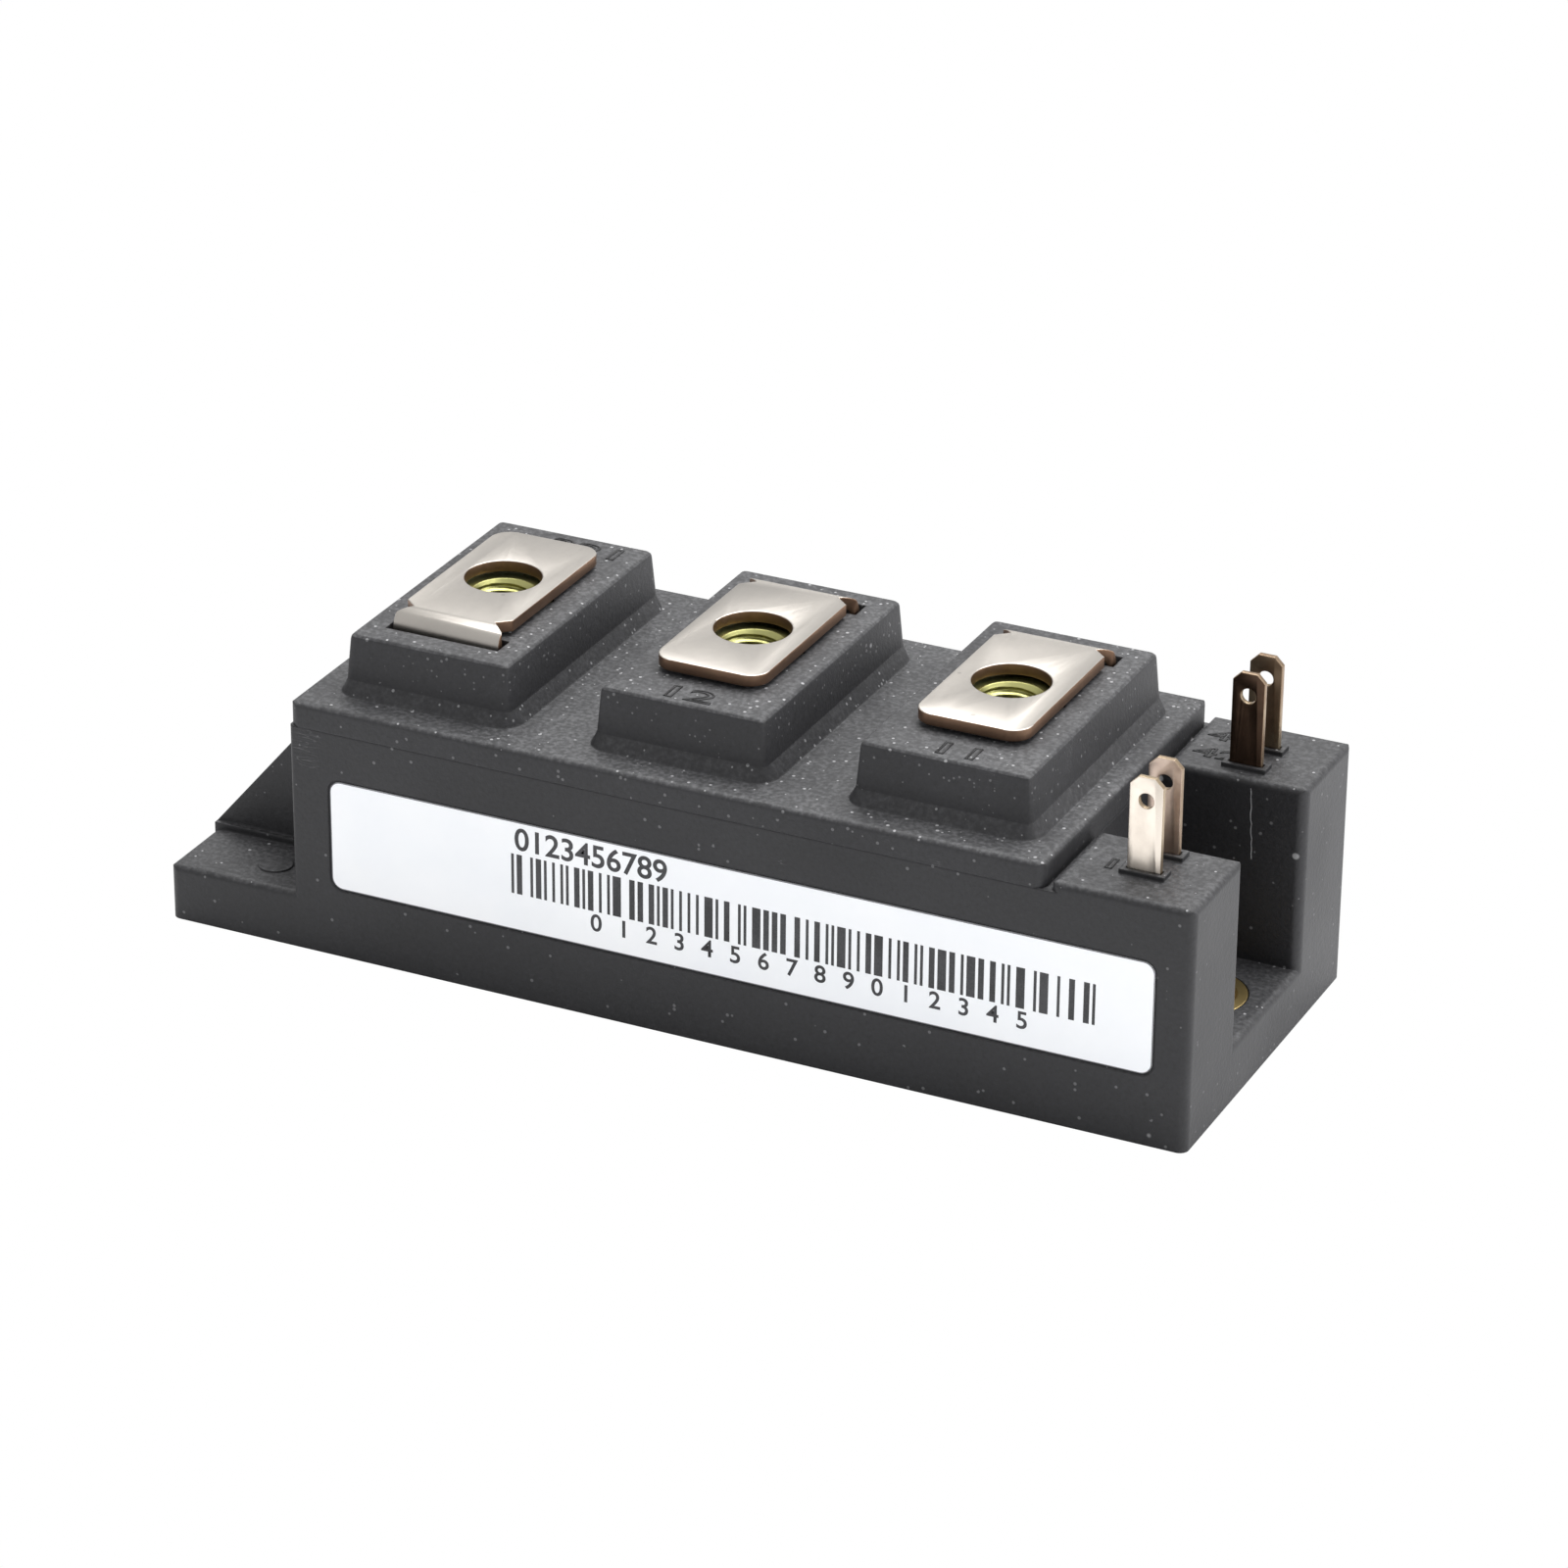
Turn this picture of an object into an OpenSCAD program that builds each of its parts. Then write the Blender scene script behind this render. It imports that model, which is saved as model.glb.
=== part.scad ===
// Half-bridge power transistor module: a flat copper base, a moulded case with screw
// slots at both ends, a lid with three terminal towers, and four control tabs.
// X runs along the module, Y across it and Z up from the underside of the base.

/* [Case] */
// Length of the case
case_len = 92; // [90:0.5:98]
// Width of the case
case_wid = 34; // [33:0.5:38]
// Height of the case wall, from its skirt to the lid
case_h = 20.4; // [19:0.2:24]
// Thickness of the outer walls
wall_t = 2.2; // [1.6:0.1:2.8]
// Thickness of the skirt round the base plate
skirt_t = 1; // [0.8:0.1:1.4]
// Radius of the upright corners
corner_r = 0.8; // [0.4:0.1:1.2]
// Radius of the top edges
edge_r = 0.6; // [0.3:0.1:0.9]

/* [Screw ends] */
// Length of the low foot at the left
foot_len = 12; // [11:0.5:13]
// Height of the screw floors above the skirt's lower edge
foot_h = 5; // [4.2:0.1:6]
// Length of the two ears at the right
ear_len = 12.1; // [11.5:0.1:12.6]
// Rise of the ears above the case wall
ear_rise = 0.9; // [0.5:0.1:1.6]
// Groove between the ears and the lid
ear_gap = 0.5; // [0.3:0.1:0.8]
// Thickness of the ears' wall beside the screw slot
ear_wall = 1.3; // [1:0.1:1.4]
// Thickness of the ears' roof
ear_roof = 2; // [1.4:0.1:3]
// Width of the screw slots
slot_wid = 13.8; // [12.5:0.1:14.2]
// Distance from each end of the case to the middle of its mounting hole
hole_inset = 6; // [5.5:0.1:6.5]
// Diameter of the mounting holes
hole_d = 6.4; // [5.5:0.1:6.6]
// Wall of the metal sleeves in the mounting holes
sleeve_t = 0.85; // [0.6:0.05:1.2]
// Thickness of each gusset beside the left screw
gusset_t = 2.1; // [1.5:0.1:3]
// Height of the ledge that the gussets stand on
ledge_h = 0.6; // [0.3:0.1:1]
// Width of the ledge outside each gusset
ledge_wid = 0.5; // [0.3:0.1:1]
// Diameter of the ejector marks on the foot
ejector_d = 3; // [2:0.5:4]

/* [Lid] */
// Thickness of the lid's deck
lid_t = 2.2; // [1.8:0.1:3]
// Depth of the lip that locates the lid in the case
lip_h = 1.2; // [0.8:0.1:2]
// Thickness of the locating lip
lip_t = 1.3; // [1:0.1:1.6]
// Distance between the towers
tower_pitch = 23; // [22.5:0.25:23.5]
// Width of a tower along the module
tower_wid = 14.7; // [14:0.1:15.5]
// Depth of a tower across the module
tower_dep = 26.3; // [25.5:0.1:27.5]
// Height of the towers above the deck
tower_h = 5.2; // [4:0.2:7]
// Draft of each tower wall over its height
draft = 0.4; // [0.2:0.1:0.6]
// Width and height of the sloped skirt at a tower's foot
tower_skirt = 1.2; // [0.8:0.1:1.4]
// Radius of a tower's upright corners
tower_r = 1; // [0.8:0.1:1.4]
// Radius of a tower's top edge
tower_edge_r = 0.5; // [0.3:0.1:0.7]
// Depth of the screw wells below the tower tops
well_dep = 10; // [8:0.5:10.5]
// Diameter of the screw wells
well_d = 5.8; // [5.4:0.1:6.4]
// Wall and floor of the screw wells
well_wall = 1.4; // [1:0.1:1.8]

/* [Power terminals] */
// Width of the terminal strips
strip_wid = 9.8; // [9.6:0.1:10.2]
// Thickness of the terminal strips
strip_t = 1; // [0.8:0.05:1.2]
// Gap between a terminal and its tower
strip_lift = 0.35; // [0.2:0.05:0.6]
// Reach from the screw to the free end
free_reach = 8.7; // [8:0.1:9.5]
// Reach from the screw to the outside of the bend
bend_reach = 10.1; // [9.8:0.05:10.3]
// Outer radius of the bends
bend_r = 1.6; // [1.4:0.1:1.8]
// Radius of the corners at the free end
free_r = 1.8; // [1:0.1:2.5]
// Diameter of the screw hole in a terminal
screw_hole_d = 6.5; // [5.5:0.1:6.8]
// Width of the leg below the lid
leg_wid = 5; // [4:0.5:5]
// Length of the soldered foot, from the bend's outside
sole_len = 3.5; // [3:0.1:3.8]
// Width of the slot that a leg drops through
leg_slot = 2.1; // [1.8:0.1:2.3]
// Size of a captive nut across its flats
nut_af = 8; // [8:0.1:8.4]
// Height of a captive nut
nut_h = 4; // [3.5:0.1:4.7]
// Core diameter of the nut's thread
thread_core_d = 4.2; // [4.1:0.05:4.4]
// Diameter of the countersinks on a nut
nut_sink_d = 5.4; // [5.2:0.1:6]

/* [Control tabs] */
// Width of a control tab
tab_wid = 2.8; // [2.4:0.1:3.2]
// Thickness of a control tab
tab_t = 0.5; // [0.4:0.05:0.6]
// Height of a tab above its ear
tab_rise = 8.4; // [7:0.2:10]
// Distance between the two tabs of an ear
tab_pitch = 3.8; // [3.6:0.1:3.9]
// Distance from the slot's side to the nearer tab
tab_offset = 1.9; // [1.8:0.05:2]
// Distance from the module's end to the tabs' middle
tab_inset = 6; // [5.5:0.1:6.5]
// Diameter of the hole in a tab
tab_hole_d = 1.3; // [1:0.1:1.5]
// Height of the raised collar round a tab
collar_h = 0.4; // [0.2:0.1:0.8]

/* [Base and circuit] */
// Height of the skirt's edge above the base's underside
skirt_lift = 0.4; // [0.2:0.1:0.8]
// Thickness of the base plate
base_t = 3; // [2.6:0.1:3.4]
// Thickness of the solder under the substrate
solder_t = 0.2; // [0.1:0.05:0.3]
// Thickness of the substrate's copper
foil_t = 0.3; // [0.2:0.05:0.5]
// Thickness of the ceramic
ceramic_t = 0.6; // [0.4:0.05:1]
// Distance from the case wall to the ceramic
ceramic_gap = 0.8; // [0.7:0.1:1]
// Extra room at the ceramic's two ends
ceramic_end = 0.8; // [0.5:0.1:1.2]
// Gap between the wide copper areas
track_gap = 1.2; // [0.8:0.1:1.4]
// Width of the narrow control tracks
track_wid = 0.9; // [0.8:0.05:1]
// Side of a transistor chip
igbt_wid = 9; // [8.4:0.1:9.1]
// Side of a diode chip
diode_wid = 6; // [5.4:0.1:6.2]
// Thickness of the chips
chip_t = 0.25; // [0.15:0.05:0.4]
// Thickness of the solder under a chip
chip_solder_t = 0.1; // [0.05:0.01:0.15]
// Diameter of the emitter bond wires
wire_d = 0.4; // [0.3:0.05:0.5]
// Diameter of the gate bond wires
gate_wire_d = 0.25; // [0.2:0.05:0.3]
// Depth of the silicone gel above the base plate
gel_h = 9.5; // [9:0.1:10]
// Depth of the epoxy above the gel
epoxy_h = 3.5; // [3.3:0.1:3.9]

/* [Label] */
// Length of the label
label_len = 73.2; // [50:0.2:74]
// Height of the label
label_h = 9.8; // [6:0.2:11]
// Distance from the module's right end to the label
label_inset = 3.1; // [2.5:0.1:5]
// Height of the label's lower edge above the skirt's edge
label_z = 6.3; // [6.2:0.1:8]
// Thickness of the label
label_t = 0.12; // [0.08:0.01:0.2]

/* [Hidden] */

$fn = 48;
eps = 0.01;              // overshoot of the cutting tools
fit = 0.1;               // clearance round inserted pieces
lip_fit = 0.15;          // clearance round the lid's lip
bite = 1;                // depth that joined blocks run into one another
plate_r = 2;             // corner radius of the base plate's recess
ejector_inset = 2.4;     // from the case wall to an ejector mark
ejector_rise = 0.15;     // height of an ejector mark
collar_wid = 0.5;        // width of the collar round a tab
leg_fit = 0.4;           // clearance behind a leg in its slot
leg_side = 0.3;          // clearance beside a leg in its slot
notch_dep = 1.1;         // depth of the relief notches beside a bend
notch_len = 1.85;        // half the mouth of a relief notch
label_sink = 0.03;       // depth of the label's face below the wall
label_fit = 0.2;         // width of the recess round the label
label_r = 1;             // radius of the label's corners
prong_wid = 1.6;         // width of a tab's prong inside the case
arm_h = 2.4;             // height of a tab's arm inside the case
tab_bevel = 0.7;         // bevel of a tab's top corners
tab_hole_drop = 2;       // from a tab's top to its hole

// Heights, from the underside of the base plate
skirt_z = skirt_lift;
floor_z = skirt_z + foot_h;
parting_z = skirt_z + case_h;
ear_z = parting_z + ear_rise;
deck_z = parting_z + lid_t;
tower_z = deck_z + tower_h;
strip_z = tower_z + strip_lift;
well_z = tower_z - well_dep - well_wall;
foil_z = base_t + solder_t;
ceramic_z = foil_z + foil_t;
track_z = ceramic_z + ceramic_t;
circuit_z = track_z + foil_t;
chip_z = circuit_z + chip_solder_t;
bond_z = chip_z + chip_t;
gel_z = base_t + gel_h;
epoxy_z = gel_z + epoxy_h;

// Places along the module
end_x = case_len / 2;
body_x0 = -end_x + foot_len;
body_x1 = end_x - ear_len - ear_gap;
ear_x = end_x - ear_len;
cavity_x0 = body_x0 + wall_t;
cavity_x1 = body_x1 - wall_t;
pocket_x = end_x - wall_t;
hole_x = end_x - hole_inset;
tab_x = end_x - tab_inset;

// Places across the module
side_y = case_wid / 2;
cavity_y = side_y - wall_t;
slot_y = slot_wid / 2;
pocket_y = slot_y + ear_wall;
gusset_y = slot_y + gusset_t;
gate_y = slot_y + tab_offset;
sense_y = gate_y + tab_pitch;

// Substrate and its copper areas
ceramic_x0 = cavity_x0 + ceramic_gap + ceramic_end;
ceramic_x1 = cavity_x1 - ceramic_gap - ceramic_end;
ceramic_y = cavity_y - ceramic_gap;
copper_edge = 0.9;       // bare ceramic round the copper
copper_x0 = ceramic_x0 + copper_edge;
copper_x1 = ceramic_x1 - copper_edge;
pad_len = 2;             // length of the pads under the control prongs
pad_x = copper_x1 - pad_len;
wide_x1 = pad_x - track_gap;
strip_gap = 0.4;         // gap beside the narrow tracks
sense_y0 = sense_y - track_wid / 2;
gate_strip_y = sense_y - track_wid - strip_gap;
wide_y1 = gate_strip_y - track_wid / 2 - strip_gap;
sole_edge = 1.4;         // copper shown inside of a terminal's sole
front_y = -bend_reach + sole_len + sole_edge;        // rear edge of the output strip
emitter_y = bend_reach - sole_len - sole_edge - strip_gap;   // front edge of the emitter area
middle_y = emitter_y - track_gap;
chip_edge = 0.6;         // copper shown round a chip

// Chip middles
chip_step = 8.8;         // from a transistor's middle to its diode's
lower_inset = 1.5;       // from the copper's left end to the lower diode
lower_shift = 2;         // from a lower chip's middle to its first bonds
upper_diode = [wide_x1 - chip_edge - diode_wid / 2, front_y + track_gap + chip_edge + diode_wid / 2];
upper_igbt = [upper_diode.x - chip_step, front_y + track_gap + chip_edge + igbt_wid / 2];
lower_diode = [copper_x0 + lower_inset + diode_wid / 2, middle_y - chip_edge - diode_wid / 2];
lower_igbt = [lower_diode.x + chip_step, middle_y - chip_edge - igbt_wid / 2];
gate_inset = 0.8;        // gate contact's distance from a chip's edges
land = 2;                // distance from a track's edge to a bond

// ---------------------------------------------------------------- shapes

// Rectangle from one corner to the other, with round corners
module round_rect(x0, y0, x1, y1, r) {
    translate([x0 + r, y0]) square([x1 - x0 - 2 * r, y1 - y0]);
    translate([x0, y0 + r]) square([x1 - x0, y1 - y0 - 2 * r]);
    for (x = [x0 + r, x1 - r], y = [y0 + r, y1 - r])
        translate([x, y]) circle(r);
}

// Rectangle that stands on y0, with its two top corners rounded
module arch_rect(x0, y0, x1, y1, r) {
    translate([x0, y0]) square([x1 - x0, y1 - y0 - r]);
    translate([x0 + r, y0]) square([x1 - x0 - 2 * r, y1 - y0]);
    for (x = [x0 + r, x1 - r])
        translate([x, y1 - r]) circle(r);
}

// Box between two corners
module box(a, b) {
    translate(a) cube(b - a);
}

// Sweeps an XZ outline from y0 to y1
module along_y(y0, y1) {
    translate([0, y1, 0]) rotate([90, 0, 0]) linear_extrude(y1 - y0) children();
}

// Sweeps a YZ outline from x0 to x1
module along_x(x0, x1) {
    translate([x0, 0, 0]) rotate([90, 0, 90]) linear_extrude(x1 - x0) children();
}

// Block with round upright corners and eased top edges
module eased_block(a, b, r, top_r) {
    intersection() {
        translate([0, 0, a.z]) linear_extrude(b.z - a.z) round_rect(a.x, a.y, b.x, b.y, r);
        along_y(a.y - eps, b.y + eps) arch_rect(a.x, a.z - eps, b.x, b.z, top_r);
        along_x(a.x - eps, b.x + eps) arch_rect(a.y, a.z - eps, b.y, b.z, top_r);
    }
}

// Mirrors its children across the module's middle plane
module both_sides() {
    children();
    mirror([0, 1, 0]) children();
}

// Places its children at the three towers; the first one faces the other way
module at_tower(i) {
    translate([(i - 1) * tower_pitch, 0, 0]) rotate([0, 0, i == 0 ? 180 : 0]) children();
}

// ---------------------------------------------------------------- case

// Inside of the case above the base plate, ear pockets included
module cavity(z0, z1) {
    box([cavity_x0, -cavity_y, z0], [cavity_x1, cavity_y, z1]);
    both_sides()
        box([cavity_x1 - bite, pocket_y, z0], [pocket_x, cavity_y, min(z1, ear_z - ear_roof)]);
}

module ears() {
    both_sides()
        eased_block([ear_x, slot_y, skirt_z], [end_x, side_y, ear_z], corner_r, edge_r);
}

module gussets() {
    both_sides() {
        along_y(slot_y, gusset_y)
            polygon([[-end_x, floor_z], [body_x0 + bite, floor_z], [body_x0 + bite, parting_z - ledge_h],
                [body_x0, parting_z - ledge_h], [-end_x, floor_z + ledge_h]]);
        box([-end_x, slot_y, floor_z - bite],
            [body_x0 + bite, gusset_y + ledge_wid, floor_z + ledge_h]);
    }
}

module ejector_marks() {
    both_sides()
        translate([body_x0 - ejector_d / 2 - ejector_inset, (gusset_y + ledge_wid + side_y) / 2,
            floor_z - bite]) cylinder(d = ejector_d, h = bite + ejector_rise);
}

// Raised collar round each tab, with the slot that the tab stands in
module tab_collar(y, margin, z0, z1) {
    box([tab_x - tab_wid / 2 - margin, y - tab_t / 2 - margin, z0],
        [tab_x + tab_wid / 2 + margin, y + tab_t / 2 + margin, z1]);
}

module label_outline(margin) {
    x1 = end_x - label_inset;
    z0 = skirt_z + label_z;
    round_rect(x1 - label_len - margin, z0 - margin, x1 + margin, z0 + label_h + margin,
        label_r + margin);
}

module case_frame() {
    color([0.2, 0.2, 0.21]) difference() {
        union() {
            eased_block([-end_x, -side_y, skirt_z], [end_x, side_y, floor_z], corner_r, edge_r);
            translate([0, 0, skirt_z]) linear_extrude(case_h)
                round_rect(body_x0, -side_y, body_x1, side_y, corner_r / 2);
            both_sides()
                box([body_x1 - bite, slot_y, floor_z - bite], [ear_x + bite, side_y, parting_z]);
            ears();
            gussets();
            ejector_marks();
            both_sides() for (y = [gate_y, sense_y])
                tab_collar(y, collar_wid, ear_z - bite, ear_z + collar_h);
        }
        // recess for the base plate
        translate([0, 0, skirt_z - 1]) linear_extrude(base_t - skirt_z + 1)
            round_rect(-end_x + skirt_t, -side_y + skirt_t, end_x - skirt_t, side_y - skirt_t, plate_r);
        cavity(base_t - eps, parting_z + eps);
        for (x = [-hole_x, hole_x])
            translate([x, 0, 0]) cylinder(d = hole_d + 2 * sleeve_t + 2 * fit, h = floor_z + 1);
        both_sides() for (y = [gate_y, sense_y])
            tab_collar(y, fit, ear_z - ear_roof - 1, ear_z + 1);
        along_y(-side_y - 1, -side_y + label_sink + label_t) label_outline(label_fit);
    }
}

// ---------------------------------------------------------------- lid

// Four round pegs at a tower's corners, from radius r0 at z0 to r1 at z1
module tower_pegs(z0, z1, r0, r1, ease) {
    x = tower_wid / 2 - tower_r;
    y = tower_dep / 2 - tower_r;
    for (sx = [-1, 1], sy = [-1, 1])
        translate([sx * x, sy * y, 0]) rotate_extrude($fn = 32) polygon(concat(
            [[0, z0], [r0, z0]],
            [for (a = [0:30:90]) [r1 - ease * (1 - cos(a)), z1 - ease * (1 - sin(a))]],
            [[0, z1]]));
}

module tower() {
    sunk = lid_t / 2;
    hull()
        tower_pegs(deck_z - sunk, tower_z, tower_r + draft * (1 + sunk / tower_h), tower_r, tower_edge_r);
}

module tower_skirting() {
    hull() {
        tower_pegs(deck_z - lid_t / 2, deck_z, tower_r + draft + tower_skirt,
            tower_r + draft + tower_skirt, 0);
        tower_pegs(deck_z, deck_z + tower_skirt, tower_r + draft + tower_skirt,
            tower_r + draft * (1 - tower_skirt / tower_h), 0);
    }
}

module hexagon(across, h) {
    cylinder(d = across / cos(30), h = h, $fn = 6);
}

module leg_slot_cut() {
    y0 = bend_reach - strip_t - leg_fit;
    box([-strip_wid / 2 - leg_side, y0, well_z - 1],
        [strip_wid / 2 + leg_side, y0 + leg_slot, tower_z + 1]);
}

module terminal_lid() {
    color([0.24, 0.24, 0.25]) difference() {
        union() {
            eased_block([body_x0, -side_y, parting_z], [body_x1, side_y, deck_z], tower_r, edge_r);
            for (i = [0:2]) at_tower(i) {
                tower();
                tower_skirting();
                translate([0, 0, well_z]) cylinder(d = well_d + 2 * well_wall, h = well_dep - tower_h);
            }
            // locating lip
            difference() {
                box([cavity_x0 + lip_fit, -cavity_y + lip_fit, parting_z - lip_h],
                    [cavity_x1 - lip_fit, cavity_y - lip_fit, parting_z + bite]);
                box([cavity_x0 + lip_fit + lip_t, -cavity_y + lip_fit + lip_t, parting_z - lip_h - 1],
                    [cavity_x1 - lip_fit - lip_t, cavity_y - lip_fit - lip_t, parting_z]);
            }
        }
        for (i = [0:2]) at_tower(i) {
            translate([0, 0, tower_z - nut_h]) hexagon(nut_af + 2 * fit, nut_h + 1);
            translate([0, 0, tower_z - well_dep]) cylinder(d = well_d, h = well_dep);
            leg_slot_cut();
        }
    }
}

// ---------------------------------------------------------------- metal parts

module base_plate() {
    m = skirt_t + fit;
    color([0.72, 0.71, 0.69]) difference() {
        linear_extrude(base_t) round_rect(-end_x + m, -side_y + m, end_x - m, side_y - m, plate_r - fit);
        for (x = [-hole_x, hole_x])
            translate([x, 0, -1]) cylinder(d = hole_d, h = base_t + 2);
    }
}

module mounting_sleeve(x) {
    color([0.78, 0.66, 0.34]) translate([x, 0, base_t]) difference() {
        cylinder(d = hole_d + 2 * sleeve_t, h = floor_z - base_t);
        translate([0, 0, -1]) cylinder(d = hole_d, h = floor_z - base_t + 2);
    }
}

module left_mounting_sleeve() { mounting_sleeve(-hole_x); }
module right_mounting_sleeve() { mounting_sleeve(hole_x); }

// Quarter of a bend in the first quadrant
module bend_quarter() {
    intersection() {
        difference() {
            circle(bend_r);
            circle(bend_r - strip_t);
        }
        square(bend_r + 1);
    }
}

// Side view of a terminal: a flat top, a leg and a soldered sole
module terminal_outline() {
    leg_y = bend_reach - bend_r;
    top = strip_z + strip_t;
    translate([-free_reach, strip_z]) square([free_reach + leg_y, strip_t]);
    translate([leg_y, top - bend_r]) bend_quarter();
    translate([bend_reach - strip_t, circuit_z + bend_r])
        square([strip_t, top - circuit_z - 2 * bend_r]);
    translate([leg_y, circuit_z + bend_r]) mirror([0, 1]) bend_quarter();
    translate([bend_reach - sole_len, circuit_z]) square([sole_len - bend_r, strip_t]);
}

module terminal(i) {
    half = strip_wid / 2;
    shoulder_z = parting_z - lip_h;
    at_tower(i) difference() {
        intersection() {
            along_x(-half, half) terminal_outline();
            linear_extrude(strip_z + 5)
                round_rect(-half, -free_reach, half, bend_reach + free_r + 1, free_r);
        }
        translate([0, 0, strip_z - 1]) cylinder(d = screw_hole_d, h = strip_t + 2);
        for (s = [-1, 1]) {
            // the leg is narrower below the lid
            box([s > 0 ? leg_wid / 2 : -half - 1, 0, 0],
                [s > 0 ? half + 1 : -leg_wid / 2, side_y, shoulder_z]);
            // relief notch beside the bend
            translate([0, 0, strip_z - strip_t]) linear_extrude(strip_t * 3) polygon([
                [s * (half + 1), bend_reach - bend_r - notch_len],
                [s * (half - notch_dep), bend_reach - bend_r],
                [s * (half + 1), bend_reach - bend_r + notch_len]]);
        }
    }
}

module output_terminal() { color([0.84, 0.8, 0.75]) terminal(0); }
module emitter_terminal() { color([0.84, 0.8, 0.75]) terminal(1); }
module collector_terminal() { color([0.84, 0.8, 0.75]) terminal(2); }

module captive_nut(i) {
    sink = (nut_sink_d - thread_core_d) / 2;
    color([0.75, 0.74, 0.4]) at_tower(i) translate([0, 0, tower_z - nut_h]) difference() {
        hexagon(nut_af, nut_h);
        translate([0, 0, -1]) cylinder(d = thread_core_d, h = nut_h + 2);
        translate([0, 0, nut_h - sink])
            cylinder(d1 = thread_core_d, d2 = nut_sink_d + 2 * eps, h = sink + eps);
        translate([0, 0, -eps])
            cylinder(d1 = nut_sink_d + 2 * eps, d2 = thread_core_d, h = sink + eps);
    }
}

module output_nut() { captive_nut(0); }
module emitter_nut() { captive_nut(1); }
module collector_nut() { captive_nut(2); }

// Control tab: a blade through the ear, an arm into the case and a prong to its pad
module control_tab(y) {
    arm_z = gel_z + strip_gap;
    prong_x = pad_x + pad_len / 2;
    x0 = tab_x - tab_wid / 2;
    x1 = tab_x + tab_wid / 2;
    top = ear_z + tab_rise;
    color([0.8, 0.74, 0.62]) difference() {
        along_y(y - tab_t / 2, y + tab_t / 2) polygon([
            [prong_x - prong_wid / 2, circuit_z], [prong_x + prong_wid / 2, circuit_z],
            [prong_x + prong_wid / 2, arm_z], [x1, arm_z], [x1, top - tab_bevel],
            [x1 - tab_bevel, top], [x0 + tab_bevel, top], [x0, top - tab_bevel], [x0, arm_z + arm_h],
            [prong_x - prong_wid / 2, arm_z + arm_h]]);
        translate([tab_x, y - 1, top - tab_hole_drop]) rotate([-90, 0, 0]) cylinder(d = tab_hole_d, h = 2);
    }
}

module upper_gate_tab() { control_tab(-gate_y); }
module upper_sense_tab() { control_tab(-sense_y); }
module lower_gate_tab() { control_tab(gate_y); }
module lower_sense_tab() { control_tab(sense_y); }

module rating_label() {
    y0 = -side_y + label_sink;
    color([0.95, 0.96, 0.98]) along_y(y0, y0 + label_t) label_outline(0);
}

// ---------------------------------------------------------------- circuit

module substrate_solder() {
    color([0.7, 0.7, 0.72])
        box([copper_x0, -ceramic_y + copper_edge, base_t], [copper_x1, ceramic_y - copper_edge, foil_z]);
}

module back_foil() {
    color([0.8, 0.5, 0.3])
        box([copper_x0, -ceramic_y + copper_edge, foil_z], [copper_x1, ceramic_y - copper_edge, ceramic_z]);
}

module ceramic_substrate() {
    color([0.95, 0.95, 0.93])
        box([ceramic_x0, -ceramic_y, ceramic_z], [ceramic_x1, ceramic_y, track_z]);
}

// Flat area of the top copper
module track(x0, y0, x1, y1) {
    box([x0, y0, track_z], [x1, y1, circuit_z]);
}

module collector_track() {
    color([0.8, 0.5, 0.3])
        track(upper_igbt.x - igbt_wid / 2 - chip_edge, front_y + track_gap, wide_x1, wide_y1);
}

module output_track() {
    color([0.8, 0.5, 0.3]) {
        track(copper_x0, -sense_y - track_wid / 2, wide_x1, front_y);
        track(copper_x0, front_y - 1, lower_igbt.x + igbt_wid / 2 + chip_edge, middle_y);
        track(wide_x1 - 1, -sense_y - track_wid / 2, copper_x1, -sense_y + track_wid);
    }
}

module emitter_track() {
    bridge = 2.5;
    color([0.8, 0.5, 0.3]) {
        track(copper_x0, emitter_y, upper_igbt.x - igbt_wid / 2 - chip_edge - track_gap, wide_y1);
        track(copper_x0, wide_y1 - 1, copper_x0 + bridge, sense_y0 + track_wid);
        track(copper_x0, sense_y0, copper_x1, sense_y0 + track_wid);
    }
}

module upper_gate_track() {
    color([0.8, 0.5, 0.3])
        track(pad_x, -gate_y - track_wid, copper_x1, upper_igbt.y + igbt_wid / 2);
}

module lower_gate_track() {
    color([0.8, 0.5, 0.3]) {
        track(lower_igbt.x + igbt_wid / 2 - gate_inset - 1, gate_strip_y - track_wid / 2,
            copper_x1, gate_strip_y + track_wid / 2);
        track(pad_x, gate_y - track_wid, copper_x1, gate_strip_y);
    }
}

module chip(middle, wid, z, t) {
    translate([middle.x - wid / 2, middle.y - wid / 2, z]) cube([wid, wid, t]);
}

module chip_solder() {
    color([0.7, 0.7, 0.72]) {
        for (c = [upper_igbt, lower_igbt]) chip(c, igbt_wid, circuit_z, chip_solder_t);
        for (c = [upper_diode, lower_diode]) chip(c, diode_wid, circuit_z, chip_solder_t);
    }
}

module upper_igbt_chip() { color([0.45, 0.45, 0.5]) chip(upper_igbt, igbt_wid, chip_z, chip_t); }
module upper_diode_chip() { color([0.5, 0.5, 0.52]) chip(upper_diode, diode_wid, chip_z, chip_t); }
module lower_igbt_chip() { color([0.45, 0.45, 0.5]) chip(lower_igbt, igbt_wid, chip_z, chip_t); }
module lower_diode_chip() { color([0.5, 0.5, 0.52]) chip(lower_diode, diode_wid, chip_z, chip_t); }

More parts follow.
